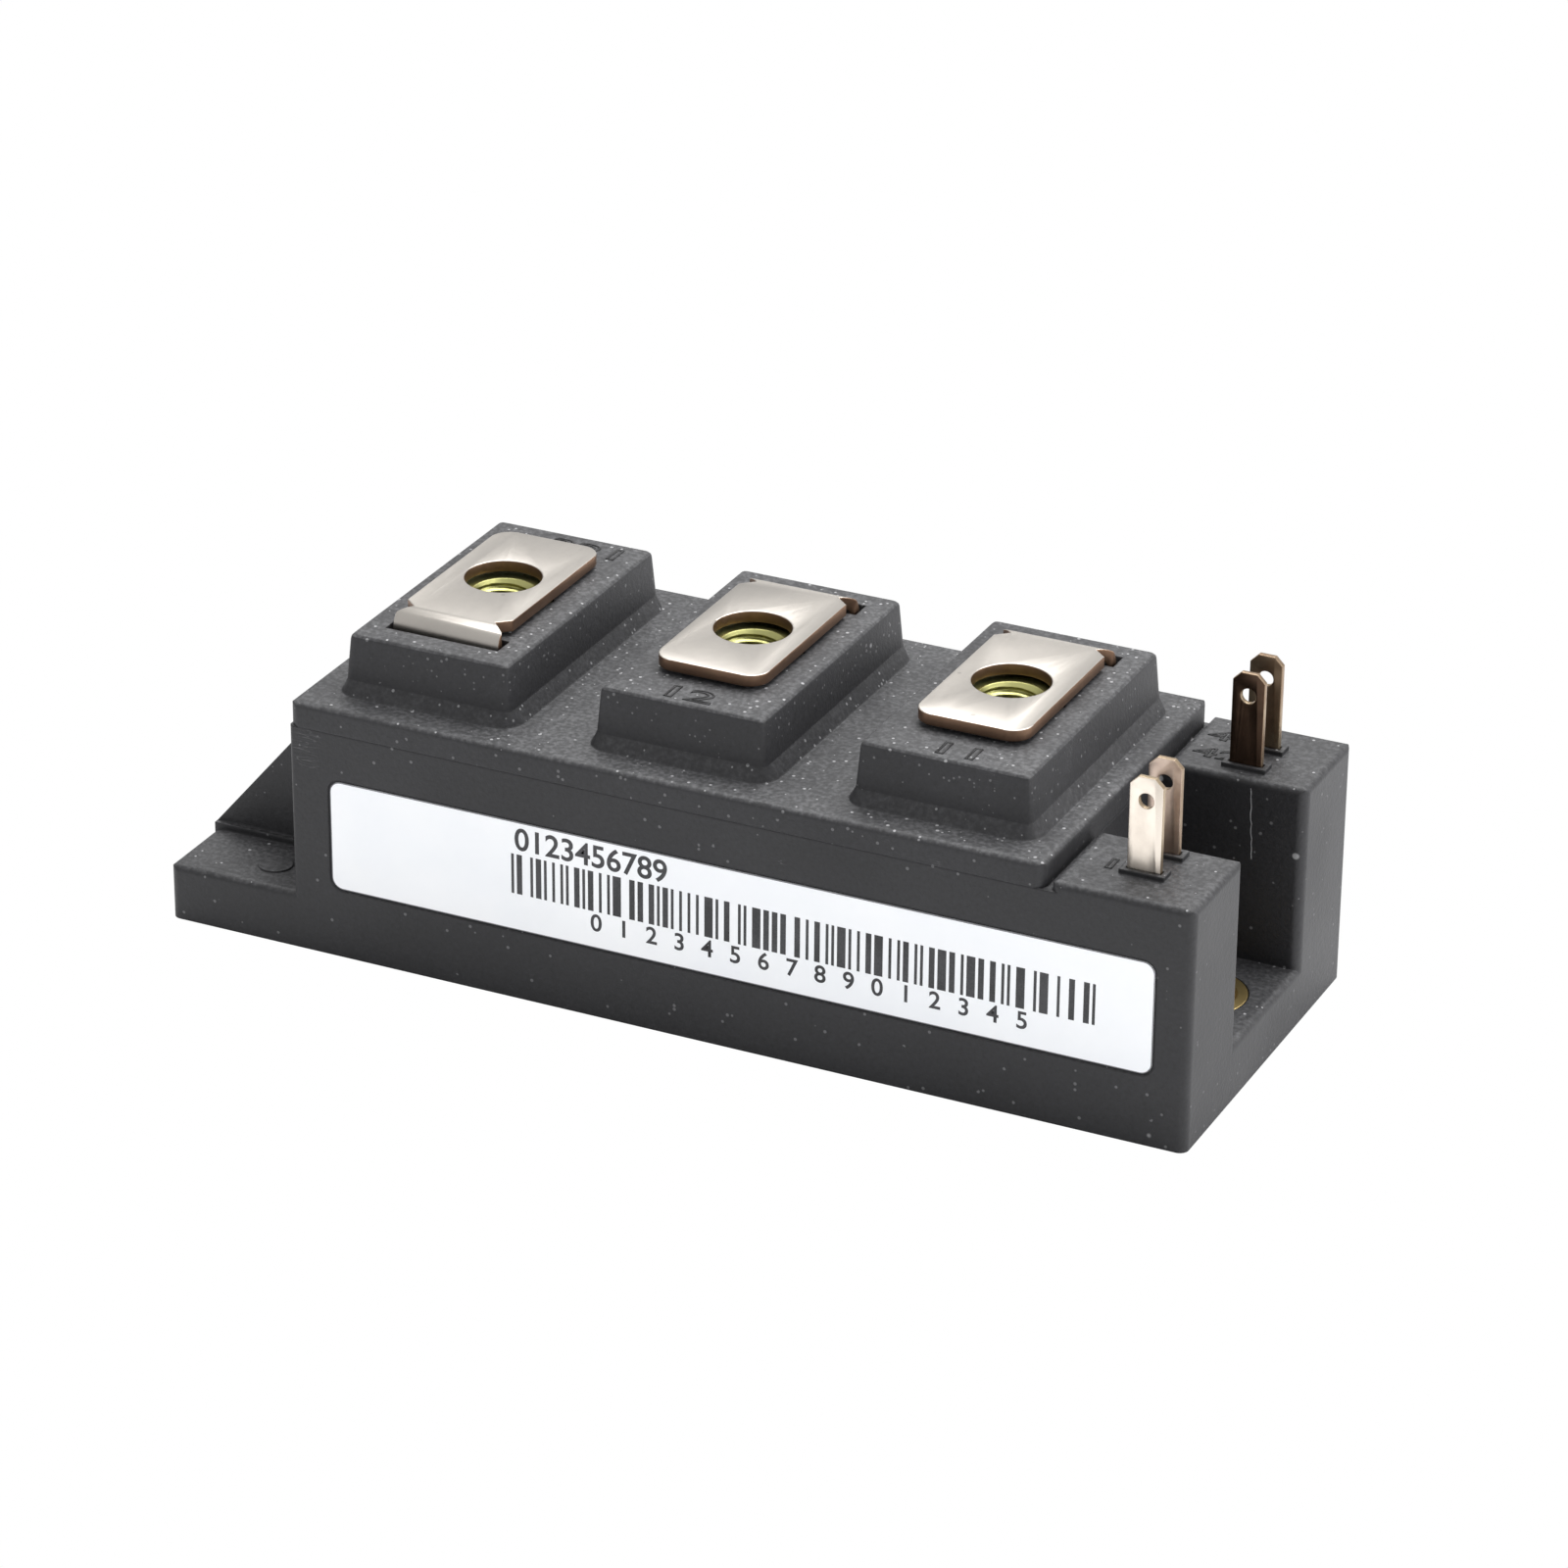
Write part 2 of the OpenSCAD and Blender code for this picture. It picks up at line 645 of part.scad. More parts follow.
// Looped wire from a chip at a to a track at b; both lie on one line along X or Y
module bond_wire(a, b, d) {
    span = norm(b - a);
    turn = atan2(b.y - a.y, b.x - a.x);
    translate([a.x, a.y, bond_z]) rotate([0, 0, turn]) {
        translate([span / 2, 0, 0]) rotate([90, 0, 0])
            rotate_extrude(angle = 180) translate([span / 2, 0]) circle(d = d, $fn = 24);
        translate([span, 0, circuit_z - bond_z])
            cylinder(d = d, h = bond_z - circuit_z, $fn = 24);
    }
}

// Row of equal wires from a chip to the track edge at y, a landing distance in
module wire_row(middle, wid, count, from_y, to_y) {
    step = (wid - 4 * gate_inset) / count;
    for (i = [0:count - 1]) {
        x = middle.x - wid / 2 + gate_inset + step * (i + 0.5);
        bond_wire([x, from_y], [x, to_y], wire_d);
    }
}

module upper_bond_wires() {
    color([0.85, 0.85, 0.86]) {
        wire_row(upper_igbt, igbt_wid, 4, upper_igbt.y - lower_shift / 2, front_y - land);
        wire_row(upper_diode, diode_wid, 3, upper_diode.y, front_y - land);
    }
}

module lower_bond_wires() {
    color([0.85, 0.85, 0.86]) {
        wire_row(lower_igbt, igbt_wid, 4, lower_igbt.y + lower_shift, emitter_y + land);
        wire_row(lower_diode, diode_wid, 3, lower_diode.y + lower_shift / 4, emitter_y + land);
    }
}

module gate_bond_wires() {
    inset = igbt_wid / 2 - gate_inset;
    upper = upper_igbt + [inset, inset];
    lower = lower_igbt + [inset, inset];
    color([0.85, 0.85, 0.86]) {
        bond_wire(upper, [pad_x + gate_inset, upper.y], gate_wire_d);
        bond_wire(lower, [lower.x, gate_strip_y], gate_wire_d);
    }
}

module terminals_and_tabs() {
    for (i = [0:2]) terminal(i);
    for (y = [-sense_y, -gate_y, gate_y, sense_y]) control_tab(y);
}

module silicone_gel() {
    color([0.8, 0.85, 0.9]) difference() {
        cavity(base_t, gel_z);
        substrate_solder();
        back_foil();
        ceramic_substrate();
        collector_track();
        output_track();
        emitter_track();
        upper_gate_track();
        lower_gate_track();
        chip_solder();
        upper_igbt_chip();
        upper_diode_chip();
        lower_igbt_chip();
        lower_diode_chip();
        upper_bond_wires();
        lower_bond_wires();
        gate_bond_wires();
        terminals_and_tabs();
    }
}

module epoxy_seal() {
    color([0.12, 0.12, 0.13]) difference() {
        cavity(gel_z, epoxy_z);
        terminals_and_tabs();
    }
}

case_frame();
terminal_lid();
base_plate();
left_mounting_sleeve();
right_mounting_sleeve();
output_terminal();
emitter_terminal();
collector_terminal();
output_nut();
emitter_nut();
collector_nut();
upper_gate_tab();
upper_sense_tab();
lower_gate_tab();
lower_sense_tab();
rating_label();
substrate_solder();
back_foil();
ceramic_substrate();
collector_track();
output_track();
emitter_track();
upper_gate_track();
lower_gate_track();
chip_solder();
upper_igbt_chip();
upper_diode_chip();
lower_igbt_chip();
lower_diode_chip();
upper_bond_wires();
lower_bond_wires();
gate_bond_wires();
silicone_gel();
epoxy_seal();
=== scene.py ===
"""Half-bridge power module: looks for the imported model, laid out as an add-on."""
import math
import random

import bmesh
import bpy
from bpy.props import FloatProperty, FloatVectorProperty, IntProperty, PointerProperty
from mathutils import Matrix, Vector


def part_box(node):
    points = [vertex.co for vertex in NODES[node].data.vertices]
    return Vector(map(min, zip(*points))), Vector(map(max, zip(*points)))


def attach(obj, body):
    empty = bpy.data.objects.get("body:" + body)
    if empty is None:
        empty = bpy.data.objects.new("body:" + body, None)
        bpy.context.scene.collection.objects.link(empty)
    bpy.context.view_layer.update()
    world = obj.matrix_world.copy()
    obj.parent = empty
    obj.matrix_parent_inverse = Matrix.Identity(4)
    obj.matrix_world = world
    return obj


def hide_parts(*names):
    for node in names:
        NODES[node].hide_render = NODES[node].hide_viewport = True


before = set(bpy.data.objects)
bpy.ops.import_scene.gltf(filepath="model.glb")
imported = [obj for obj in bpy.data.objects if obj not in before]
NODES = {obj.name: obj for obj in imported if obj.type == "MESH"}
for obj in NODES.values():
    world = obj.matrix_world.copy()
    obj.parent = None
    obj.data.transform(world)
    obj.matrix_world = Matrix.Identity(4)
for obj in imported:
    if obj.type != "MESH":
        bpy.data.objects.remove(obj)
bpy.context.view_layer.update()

bl_info = {
    "name": "Power module looks",
    "version": (1, 0, 0),
    "blender": (4, 5, 0),
    "location": "View3D > Sidebar > Module",
    "description": "Dresses a half-bridge power module with procedural materials and fine detail",
    "category": "Object",
}

MM = 0.001
NUTS = ("output_nut", "emitter_nut", "collector_nut")
TERMINALS = ("output_terminal", "emitter_terminal", "collector_terminal")
TABS = ("upper_gate_tab", "upper_sense_tab", "lower_gate_tab", "lower_sense_tab")

# Lid: deck above the lid's underside, and a tower's corner centres from its middle
DECK_RISE = 3.4 * MM
CORNER_X, CORNER_Y = 6.35 * MM, 12.15 * MM
# Lid: distances from a corner centre that tell a tower's walls from its skirt's outer edge
WALL_NEAR, WALL_FAR, SKIRT_FAR = 0.4 * MM, 1.9 * MM, 2.7 * MM
SKIRT_SLIMMER = 0.55 * MM
CORNER_POWER = 5

# Label print, from the label's edges
PRINT_START = 0.2295
PRINT_MARGIN = 4.9 * MM
BARS_LOW, BARS_HIGH = 3.3 * MM, 6.9 * MM
ROW_START, ROW_END, ROW_RISE = 7.2 * MM, 44.8 * MM, 1.55 * MM
HEADING_START, HEADING_RISE, HEADING_SCALE = 0.3 * MM, 7.35 * MM, 1.3
PRINT_GAP = 0.006 * MM
LABEL_CORNER, OUTLINE_WIDTH = 1.0 * MM, 0.07 * MM

# Digits: their share of the font's size, and the boldness of print as a share of their height
DIGIT_SHARE = 0.7
BOLD = 0.0222

# Moulded digits: line radius, width to height, size on the ears, and the tabs' collars above the ears
MARK_LINE = 0.08 * MM
MARK_STRETCH = 1.7
EAR_MARK = 0.8
COLLAR_RISE = 0.4 * MM

# Camera: place in metres, and turn, tilt and roll in degrees
CAMERA_SPOT = (0.19225, -0.3989, 0.23001)
CAMERA_TURNS = (25.3901, 25.8576, 0.4652)


# ---------------------------------------------------------------- settings

def colour(name, text, value):
    """A colour setting."""
    return FloatVectorProperty(name=name, description=text, default=value, size=3,
                               min=0, max=1, subtype="COLOR")


def length(name, text, value, low=0.0, high=1.0):
    """A length setting in metres."""
    return FloatProperty(name=name, description=text, default=value, min=low, max=high,
                         subtype="DISTANCE", unit="LENGTH", precision=5)


class ModuleLooks(bpy.types.PropertyGroup):
    """Colours of the module."""
    case: colour("Case", "Plastic of the case", (0.0125, 0.0125, 0.0142))
    lid: colour("Lid", "Plastic of the lid", (0.0175, 0.0175, 0.0195))
    speck: colour("Speck", "Glass fibre specks in the plastic", (0.42, 0.42, 0.43))
    plating: colour("Plating", "Plated faces of the terminals", (0.500, 0.470, 0.432))
    cut: colour("Cut edge", "Sheared copper edges", (0.24, 0.15, 0.10))
    nut: colour("Nut", "Yellow zinc of the nuts", (0.50, 0.49, 0.20))
    tab: colour("Tab", "Tinned faces of the tabs", (0.80, 0.73, 0.64))
    tab_tarnish_and_shade: colour("Tab tarnish and shade", "Tarnish on the tabs, also darkened into one tab's painted shade", (0.20, 0.125, 0.085))
    # Three tabs take the one tin darkened as painted shade.
    tab_painted_shade: colour("Tab with painted shade", "Tin of the upper gate tab, darkened as painted shade", (0.62, 0.50, 0.42))
    tab_painted_deep_shade: colour("Tab with deeper painted shade", "Tin of the lower sense tab, darkened further as painted shade", (0.42, 0.33, 0.22))
    tab_edge: colour("Tab edge", "Sheared edges of the tabs", (0.36, 0.29, 0.2))
    nickel: colour("Base plate", "Nickel of the base plate", (0.66, 0.65, 0.62))
    nickel_worn: colour("Worn base plate", "Dull nickel of the base plate", (0.5, 0.47, 0.42))
    brass: colour("Sleeve", "Metal of the mounting sleeves", (0.66, 0.50, 0.22))
    paper: colour("Label", "Face of the label", (0.96, 0.975, 0.99))
    ink: colour("Ink", "Print on the label", (0.018, 0.018, 0.02))
    outline: colour("Outline", "Line round the label", (0.2, 0.2, 0.22))
    mould_line_painted_highlight: colour("Mould line, painted highlight", "Line on the rear ear's inner wall, pale as a painted highlight", (0.3, 0.3, 0.31))
    copper: colour("Copper", "Copper of the circuit", (0.8, 0.45, 0.28))
    copper_worn: colour("Worn copper", "Darker copper of the circuit", (0.6, 0.3, 0.18))
    solder: colour("Solder", "Solder of the circuit", (0.6, 0.6, 0.62))
    ceramic: colour("Ceramic", "Substrate's ceramic", (0.88, 0.87, 0.84))
    chip: colour("Chips", "Metal face of the chips", (0.42, 0.42, 0.47))
    wire: colour("Bond wires", "Aluminium of the bond wires", (0.8, 0.8, 0.82))
    gel: colour("Gel", "Soft casting over the circuit", (0.8, 0.84, 0.88))
    epoxy: colour("Epoxy", "Hard casting under the lid", (0.02, 0.02, 0.022))


class ModuleSizes(bpy.types.PropertyGroup):
    """Sizes of the added detail."""
    edge: length("Edge", "Rounding of stamped edges", 0.00016, 0.00002, 0.0004)
    moulded_edge: length("Moulded edge", "Rounding of moulded edges", 0.00025, 0.00005, 0.001)
    thread_pitch: length("Thread pitch", "Pitch of the thread in the nuts", 0.0008, 0.0004, 0.002)
    thread_depth: length("Thread depth", "Depth of the thread", 0.00042, 0.0001, 0.001)
    bar: length("Bar", "Width of the narrowest bar on the label", 0.00025, 0.0001, 0.001)
    digit: length("Digit", "Height of the small digits on the label", 0.0015, 0.0005, 0.003)
    mark: length("Mark", "Height of the moulded digits", 0.0021, 0.001, 0.005)
    seed: IntProperty(name="Seed", description="Seed of all random detail", default=7, min=0)


class ModuleStage(bpy.types.PropertyGroup):
    """Camera and light."""
    lens: FloatProperty(name="Lens", description="Focal length of the camera", default=136.94,
                        min=20, max=300, subtype="DISTANCE_CAMERA")
    key: FloatProperty(name="Key light", description="Power of the softbox above and behind",
                       default=9.10, min=0, subtype="POWER")
    side: FloatProperty(name="Side light", description="Power of the softbox at the right",
                        default=3.43, min=0, subtype="POWER")
    fill: FloatProperty(name="Fill", description="Light from the white room", default=0.655, min=0)
    shine: FloatProperty(name="Shine", description="White room as metal mirrors it", default=0.75,
                         min=0)


# ---------------------------------------------------------------- shader helpers

class Tree:
    """Short-hand for building a node tree."""

    def __init__(self, tree):
        self.tree = tree

    def add(self, kind, props=None, **inputs):
        """A node; an input is a number, a colour or another node's socket. _ stands for a space."""
        node = self.tree.nodes.new("ShaderNode" + kind)
        for key, value in (props or {}).items():
            setattr(node, key, value)
        for key, value in inputs.items():
            key = int(key[1:]) if key[0] == "i" and key[1:].isdigit() else key.replace("_", " ")
            self.put(node.inputs[key], value)
        return node

    def put(self, socket, value):
        if isinstance(value, bpy.types.NodeSocket):
            self.tree.links.new(value, socket)
        elif socket.type == "RGBA" and len(value) == 3:
            socket.default_value = (*value, 1)
        else:
            socket.default_value = value

    def math(self, operation, a, b=0.0, c=0.0, clamp=False):
        return self.add("Math", {"operation": operation, "use_clamp": clamp}, i0=a, i1=b, i2=c).outputs[0]

    def mix(self, factor, a, b):
        node = self.add("Mix", {"data_type": "RGBA"}, i0=factor, i6=a, i7=b)
        return node.outputs[2]

    def over(self, base, mask, amount, colour_):
        """A colour laid over a base where a mask shows it."""
        return self.mix(self.math("MULTIPLY", mask, amount), base, colour_)

    def ramp(self, value, low, high, to_low=0.0, to_high=1.0):
        node = self.add("MapRange", {"interpolation_type": "SMOOTHSTEP"}, Value=value, From_Min=low,
                        From_Max=high, To_Min=to_low, To_Max=to_high)
        return node.outputs[0]


def new_group(name, inputs, outputs):
    """An empty node group; inputs maps a name to a default, outputs a name to a socket type."""
    tree = bpy.data.node_groups.new(name, "ShaderNodeTree")
    kinds = {float: "NodeSocketFloat", tuple: "NodeSocketColor", type(None): "NodeSocketVector"}
    for label, value in inputs.items():
        socket = tree.interface.new_socket(name=label, in_out="INPUT", socket_type=kinds[type(value)])
        if isinstance(value, float):
            socket.default_value = value
        elif value is not None:
            socket.default_value = (*value, 1)
    for label, kind in outputs.items():
        tree.interface.new_socket(name=label, in_out="OUTPUT", socket_type="NodeSocket" + kind)
    t = Tree(tree)
    source = tree.nodes.new("NodeGroupInput").outputs
    sink = tree.nodes.new("NodeGroupOutput").inputs
    return t, source, sink


def grain_group():
    """Fine moulded or cast surface: a height and a tone."""
    t, i, o = new_group("Fine grain", {"Vector": None, "Scale": 3000.0, "Roughness": 0.6},
                        {"Height": "Float", "Tone": "Float"})
    fine = t.add("TexNoise", Vector=i["Vector"], Scale=i["Scale"], Detail=3.0,
                 Roughness=i["Roughness"]).outputs[0]
    broad = t.add("TexNoise", Vector=i["Vector"], Scale=t.math("MULTIPLY", i["Scale"], 0.04),
                  Detail=4.0).outputs[0]
    t.put(o["Height"], fine)
    t.put(o["Tone"], t.math("MULTIPLY_ADD", fine, 0.35, t.math("MULTIPLY", broad, 0.65)))


def speck_group():
    """Scattered round specks: a mask."""
    t, i, o = new_group("Specks", {"Vector": None, "Scale": 1500.0, "Share": 0.1, "Radius": 0.2},
                        {"Mask": "Float"})
    cells = t.add("TexVoronoi", Vector=i["Vector"], Scale=i["Scale"])
    pick = t.add("SeparateColor", Color=cells.outputs["Color"])
    chosen = t.math("LESS_THAN", pick.outputs[0], i["Share"])
    size = t.math("MULTIPLY", i["Radius"], t.math("MULTIPLY_ADD", pick.outputs[1], 0.9, 0.35))
    near = t.math("SUBTRACT", 1.0, t.math("DIVIDE", cells.outputs["Distance"], size), clamp=True)
    t.put(o["Mask"], t.math("MULTIPLY", chosen, t.ramp(near, 0.0, 0.4)))


def edge_group():
    """Rounded edges: a softened normal, and a mask that is broken up along the edge; the mask lightens
    edges both as wear and as a painted edge highlight.
    """
    t, i, o = new_group("Worn and highlighted edges", {"Vector": None, "Radius": 0.0003, "Breakup": 0.5},
                        {"Mask": "Float", "Normal": "Vector"})
    soft = t.add("Bevel", {"samples": 6}, Radius=i["Radius"]).outputs[0]
    flat = t.add("NewGeometry").outputs["True Normal"]
    same = t.add("VectorMath", {"operation": "DOT_PRODUCT"}, i0=soft, i1=flat).outputs["Value"]
    edge_band = t.ramp(same, 0.995, 0.80)
    noise = t.add("TexNoise", Vector=i["Vector"], Scale=900.0, Detail=5.0).outputs[0]
    keep = t.ramp(noise, t.math("MULTIPLY_ADD", i["Breakup"], 0.3, 0.3), 0.72)
    whole = t.math("SUBTRACT", 1.0, i["Breakup"])
    t.put(o["Mask"], t.math("MULTIPLY", edge_band, t.math("MAXIMUM", keep, whole)))
    t.put(o["Normal"], soft)


def brushed_group():
    """Fine parallel lines across Y: a height and a tone."""
    t, i, o = new_group("Brushed lines", {"Vector": None, "Scale": 400.0, "Stretch": 14.0},
                        {"Height": "Float", "Tone": "Float"})
    parts = t.add("SeparateXYZ", Vector=i["Vector"])
    across = t.math("MULTIPLY", parts.outputs[0], i["Stretch"])
    stretched = t.add("CombineXYZ", X=across, Y=parts.outputs[1], Z=parts.outputs[2]).outputs[0]
    lines = t.add("TexNoise", Vector=stretched, Scale=i["Scale"], Detail=5.0, Roughness=0.7).outputs[0]
    cloud = t.add("TexNoise", Vector=i["Vector"], Scale=t.math("MULTIPLY", i["Scale"], 0.5),
                  Detail=3.0).outputs[0]
    t.put(o["Height"], lines)
    t.put(o["Tone"], t.math("MULTIPLY_ADD", lines, 0.5, t.math("MULTIPLY", cloud, 0.5)))


def scratch_group():
    """Short light scratches in two directions: a mask."""
    t, i, o = new_group("Scratches", {"Vector": None, "Scale": 300.0, "Share": 0.3}, {"Mask": "Float"})
    masks = []
    for turn, skew in ((0.5, 9.0), (-0.35, 7.0)):
        placed = t.add("Mapping", Vector=i["Vector"], Rotation=(turn, turn * 2, turn),
                       Scale=(1.0, skew, skew)).outputs[0]
        line = t.add("TexNoise", Vector=placed, Scale=i["Scale"], Detail=1.0, Distortion=0.4).outputs[0]
        thin = t.ramp(t.math("ABSOLUTE", t.math("SUBTRACT", line, 0.5)), 0.012, 0.0)
        masks.append(thin)
    gate = t.add("TexNoise", Vector=i["Vector"], Scale=t.math("MULTIPLY", i["Scale"], 0.5),
                 Detail=2.0).outputs[0]
    low = t.math("SUBTRACT", 0.75, t.math("MULTIPLY", i["Share"], 0.4))
    shown = t.ramp(gate, low, t.math("ADD", low, 0.06))
    t.put(o["Mask"], t.math("MULTIPLY", shown, t.math("MAXIMUM", *masks)))


def uneven_group():
    """One colour that drifts towards another in clouds."""
    t, i, o = new_group("Uneven colour", {"Vector": None, "Colour": (0.5, 0.5, 0.5),
                                          "Second": (0.4, 0.4, 0.4), "Scale": 90.0, "Amount": 0.5},
                        {"Colour": "Color"})
    cloud = t.add("TexNoise", Vector=i["Vector"], Scale=i["Scale"], Detail=5.0, Roughness=0.62).outputs[0]
    t.put(o["Colour"], t.mix(t.math("MULTIPLY", t.ramp(cloud, 0.35, 0.7), i["Amount"]),
                             i["Colour"], i["Second"]))


def dust_and_top_light_group():
    """Pale dust on surfaces facing up, which also paints the lighter tone of the tops under light from
    above: a mask.
    """
    t, i, o = new_group("Dust and painted top light", {"Vector": None, "Amount": 0.5}, {"Mask": "Float"})
    up = t.add("SeparateXYZ", Vector=t.add("NewGeometry").outputs["Normal"]).outputs[2]
    cloud = t.add("TexNoise", Vector=i["Vector"], Scale=160.0, Detail=6.0, Roughness=0.65).outputs[0]
    fine = t.add("TexNoise", Vector=i["Vector"], Scale=2600.0, Detail=2.0).outputs[0]
    both = t.math("MULTIPLY", t.ramp(cloud, 0.3, 0.75, 0.35, 1.0), t.ramp(fine, 0.35, 0.7, 0.3, 1.0))
    t.put(o["Mask"], t.math("MULTIPLY", t.math("MULTIPLY", t.ramp(up, 0.3, 0.95), both), i["Amount"]))


def shader_groups():
    """Builds the shared node groups once."""
    if "Fine grain" not in bpy.data.node_groups:
        for make in (grain_group, speck_group, edge_group, brushed_group, scratch_group,
                     uneven_group, dust_and_top_light_group):
            make()


def new_material(name):
    """A material with a Principled shader; returns it, its tree, the shader and object coordinates."""
    material = bpy.data.materials.new(name)
    material.use_nodes = True
    t = Tree(material.node_tree)
    shader = material.node_tree.nodes["Principled BSDF"]
    vector = t.add("TexCoord").outputs["Object"]
    return material, t, shader, vector


def use(t, group, **inputs):
    """An instance of a shared node group."""
    node = t.add("Group", {"node_tree": bpy.data.node_groups[group]})
    for key, value in inputs.items():
        t.put(node.inputs[key.replace("_", " ")], value)
    return node.outputs


def finish_shader(t, shader, colour_, roughness, height, strength, distance, normal=None, **more):
    """Sets colour, roughness and bump of a Principled shader."""
    bump = t.add("Bump", Height=height, Strength=strength, Distance=distance)
    if normal is not None:
        t.put(bump.inputs["Normal"], normal)
    for key, value in {"Base Color": colour_, "Roughness": roughness, "Normal": bump.outputs[0]}.items():
        t.put(shader.inputs[key], value)
    for key, value in more.items():
        t.put(shader.inputs[key.replace("_", " ")], value)


def darker(rgb, factor):
    """A colour times a factor, up to white; a factor over 1 makes it lighter."""
    return tuple(min(1.0, c * factor) for c in rgb)


def plastic(name, rgb, looks, sizes, speck_share=0.1, dust_and_top_light_amount=0.4, rough=0.5):
    """Moulded glass-filled plastic with specks, scratches, pale dust with painted top light, painted
    sparkle on the grain of faces facing up, and worn edges lightened partly as a painted highlight.
    """
    material, t, shader, vector = new_material(name)
    grain = use(t, "Fine grain", Vector=vector, Scale=2600.0)
    edges = use(t, "Worn and highlighted edges", Vector=vector, Radius=sizes.moulded_edge, Breakup=0.6)
    fine = use(t, "Specks", Vector=vector, Scale=2300.0, Share=speck_share, Radius=0.34)
    large = use(t, "Specks", Vector=vector, Scale=420.0, Share=0.05, Radius=0.13)
    dust_and_top_light = use(t, "Dust and painted top light", Vector=vector, Amount=dust_and_top_light_amount)
    scratch = use(t, "Scratches", Vector=vector, Scale=260.0, Share=0.25)
    base = use(t, "Uneven colour", Vector=vector, Colour=rgb, Second=darker(rgb, 1.35), Scale=70.0,
               Amount=0.6)["Colour"]
    up = t.add("SeparateXYZ", Vector=t.add("NewGeometry").outputs["Normal"]).outputs[2]
    # Faces facing up get fuller fine specks and lighter grain peaks: partly the plastic's grain and specks,
    # partly a painted sparkle of top light.
    side = t.ramp(up, 0.2, 0.9, 0.3, 1.0)
    grain_and_painted_sparkle = t.math("MULTIPLY", t.ramp(grain["Height"], 0.5, 0.78), t.ramp(up, 0.2, 0.9, 0.25, 0.8))
    base = t.over(base, grain_and_painted_sparkle, 0.5, darker(rgb, 4.5))
    base = t.over(base, t.ramp(grain["Height"], 0.5, 0.3), 0.5, darker(rgb, 0.45))
    base = t.over(base, t.math("MULTIPLY", fine["Mask"], side), 0.75, looks.speck)
    base = t.over(base, large["Mask"], 0.6, looks.speck)
    # Faces facing up are mixed towards grey: partly pale dust, partly painted top light.
    base = t.mix(dust_and_top_light["Mask"], base, (0.2, 0.2, 0.205))
    base = t.over(base, scratch["Mask"], 0.16, looks.speck)
    # Edges are lightened: partly wear, partly a painted edge highlight.
    base = t.over(base, edges["Mask"], 0.3, darker(rgb, 3.2))
    roughness = t.math("MULTIPLY_ADD", grain["Tone"], 0.25, rough - 0.1)
    finish_shader(t, shader, base, roughness, grain["Height"], 0.5, 0.00008, edges["Normal"],
                  Specular_IOR_Level=0.45)
    return material


def metal(name, rgb, second, rough=0.3, lines=True, wear=0.5):
    """Plated or bare metal with fine lines, tarnish and bright edges, the edges lightened partly as wear
    and partly as a painted highlight.
    """
    material, t, shader, vector = new_material(name)
    if lines:
        surface = use(t, "Brushed lines", Vector=vector, Scale=420.0)
    else:
        surface = use(t, "Fine grain", Vector=vector, Scale=1800.0)
    edges = use(t, "Worn and highlighted edges", Vector=vector, Radius=0.12 * MM, Breakup=0.4)
    spots = use(t, "Specks", Vector=vector, Scale=700.0, Share=0.12, Radius=0.16)
    base = use(t, "Uneven colour", Vector=vector, Colour=rgb, Second=second, Scale=210.0,
               Amount=wear)["Colour"]
    base = t.over(base, spots["Mask"], 0.5, darker(second, 0.6))
    # Edges are lightened: partly wear, partly a painted edge highlight.
    base = t.over(base, edges["Mask"], 0.5, darker(rgb, 1.25))
    roughness = t.math("MULTIPLY_ADD", surface["Tone"], 0.3, rough - 0.12)
    finish_shader(t, shader, base, roughness, surface["Height"], 0.18, 0.00004, edges["Normal"],
                  Metallic=1.0)
    return material


def paper(name, looks):
    """Satin label with faint fibres and slightly yellowed clouds."""
    material, t, shader, vector = new_material(name)
    grain = use(t, "Fine grain", Vector=vector, Scale=2200.0)
    spots = use(t, "Specks", Vector=vector, Scale=260.0, Share=0.05, Radius=0.06)
    base = use(t, "Uneven colour", Vector=vector, Colour=looks.paper, Second=(0.86, 0.89, 0.93),
               Scale=60.0, Amount=0.5)["Colour"]
    base = t.over(base, spots["Mask"], 0.4, (0.45, 0.46, 0.5))
    finish_shader(t, shader, base, 0.42, grain["Height"], 0.08, 0.00002)
    return material


def ink(name, rgb):
    """Printed ink with a slightly uneven density."""
    material, t, shader, vector = new_material(name)
    grain = use(t, "Fine grain", Vector=vector, Scale=5200.0)
    base = t.mix(t.ramp(grain["Tone"], 0.4, 0.62, 0.0, 0.25), rgb, (0.12, 0.12, 0.13))
    finish_shader(t, shader, base, 0.5, grain["Height"], 0.05, 0.00001)
    return material


def cast(name, rgb, rough, **more):
    """Plain cast, fired or soldered surface with clouds and a fine grain."""
    material, t, shader, vector = new_material(name)
    grain = use(t, "Fine grain", Vector=vector, Scale=1500.0)
    base = use(t, "Uneven colour", Vector=vector, Colour=rgb, Second=darker(rgb, 0.75), Scale=150.0,
               Amount=0.7)["Colour"]
    finish_shader(t, shader, base, t.math("MULTIPLY_ADD", grain["Tone"], 0.2, rough - 0.1),
                  grain["Height"], 0.2, 0.00004, **more)
    return material


def paint(names, *materials):
    """Gives CAD nodes their materials."""
    for name in names:
        slots = NODES[name].data.materials
        slots.clear()
        for material in materials:
            slots.append(material)


# ---------------------------------------------------------------- mesh helpers

def add_piece(name, mesh, slot, *materials):
    """Links a mesh as a piece of the module's body."""
    piece = bpy.data.objects.new(name, mesh)
    bpy.context.scene.collection.objects.link(piece)
    for material in materials:
        mesh.materials.append(material)
    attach(piece, "root")
    return piece


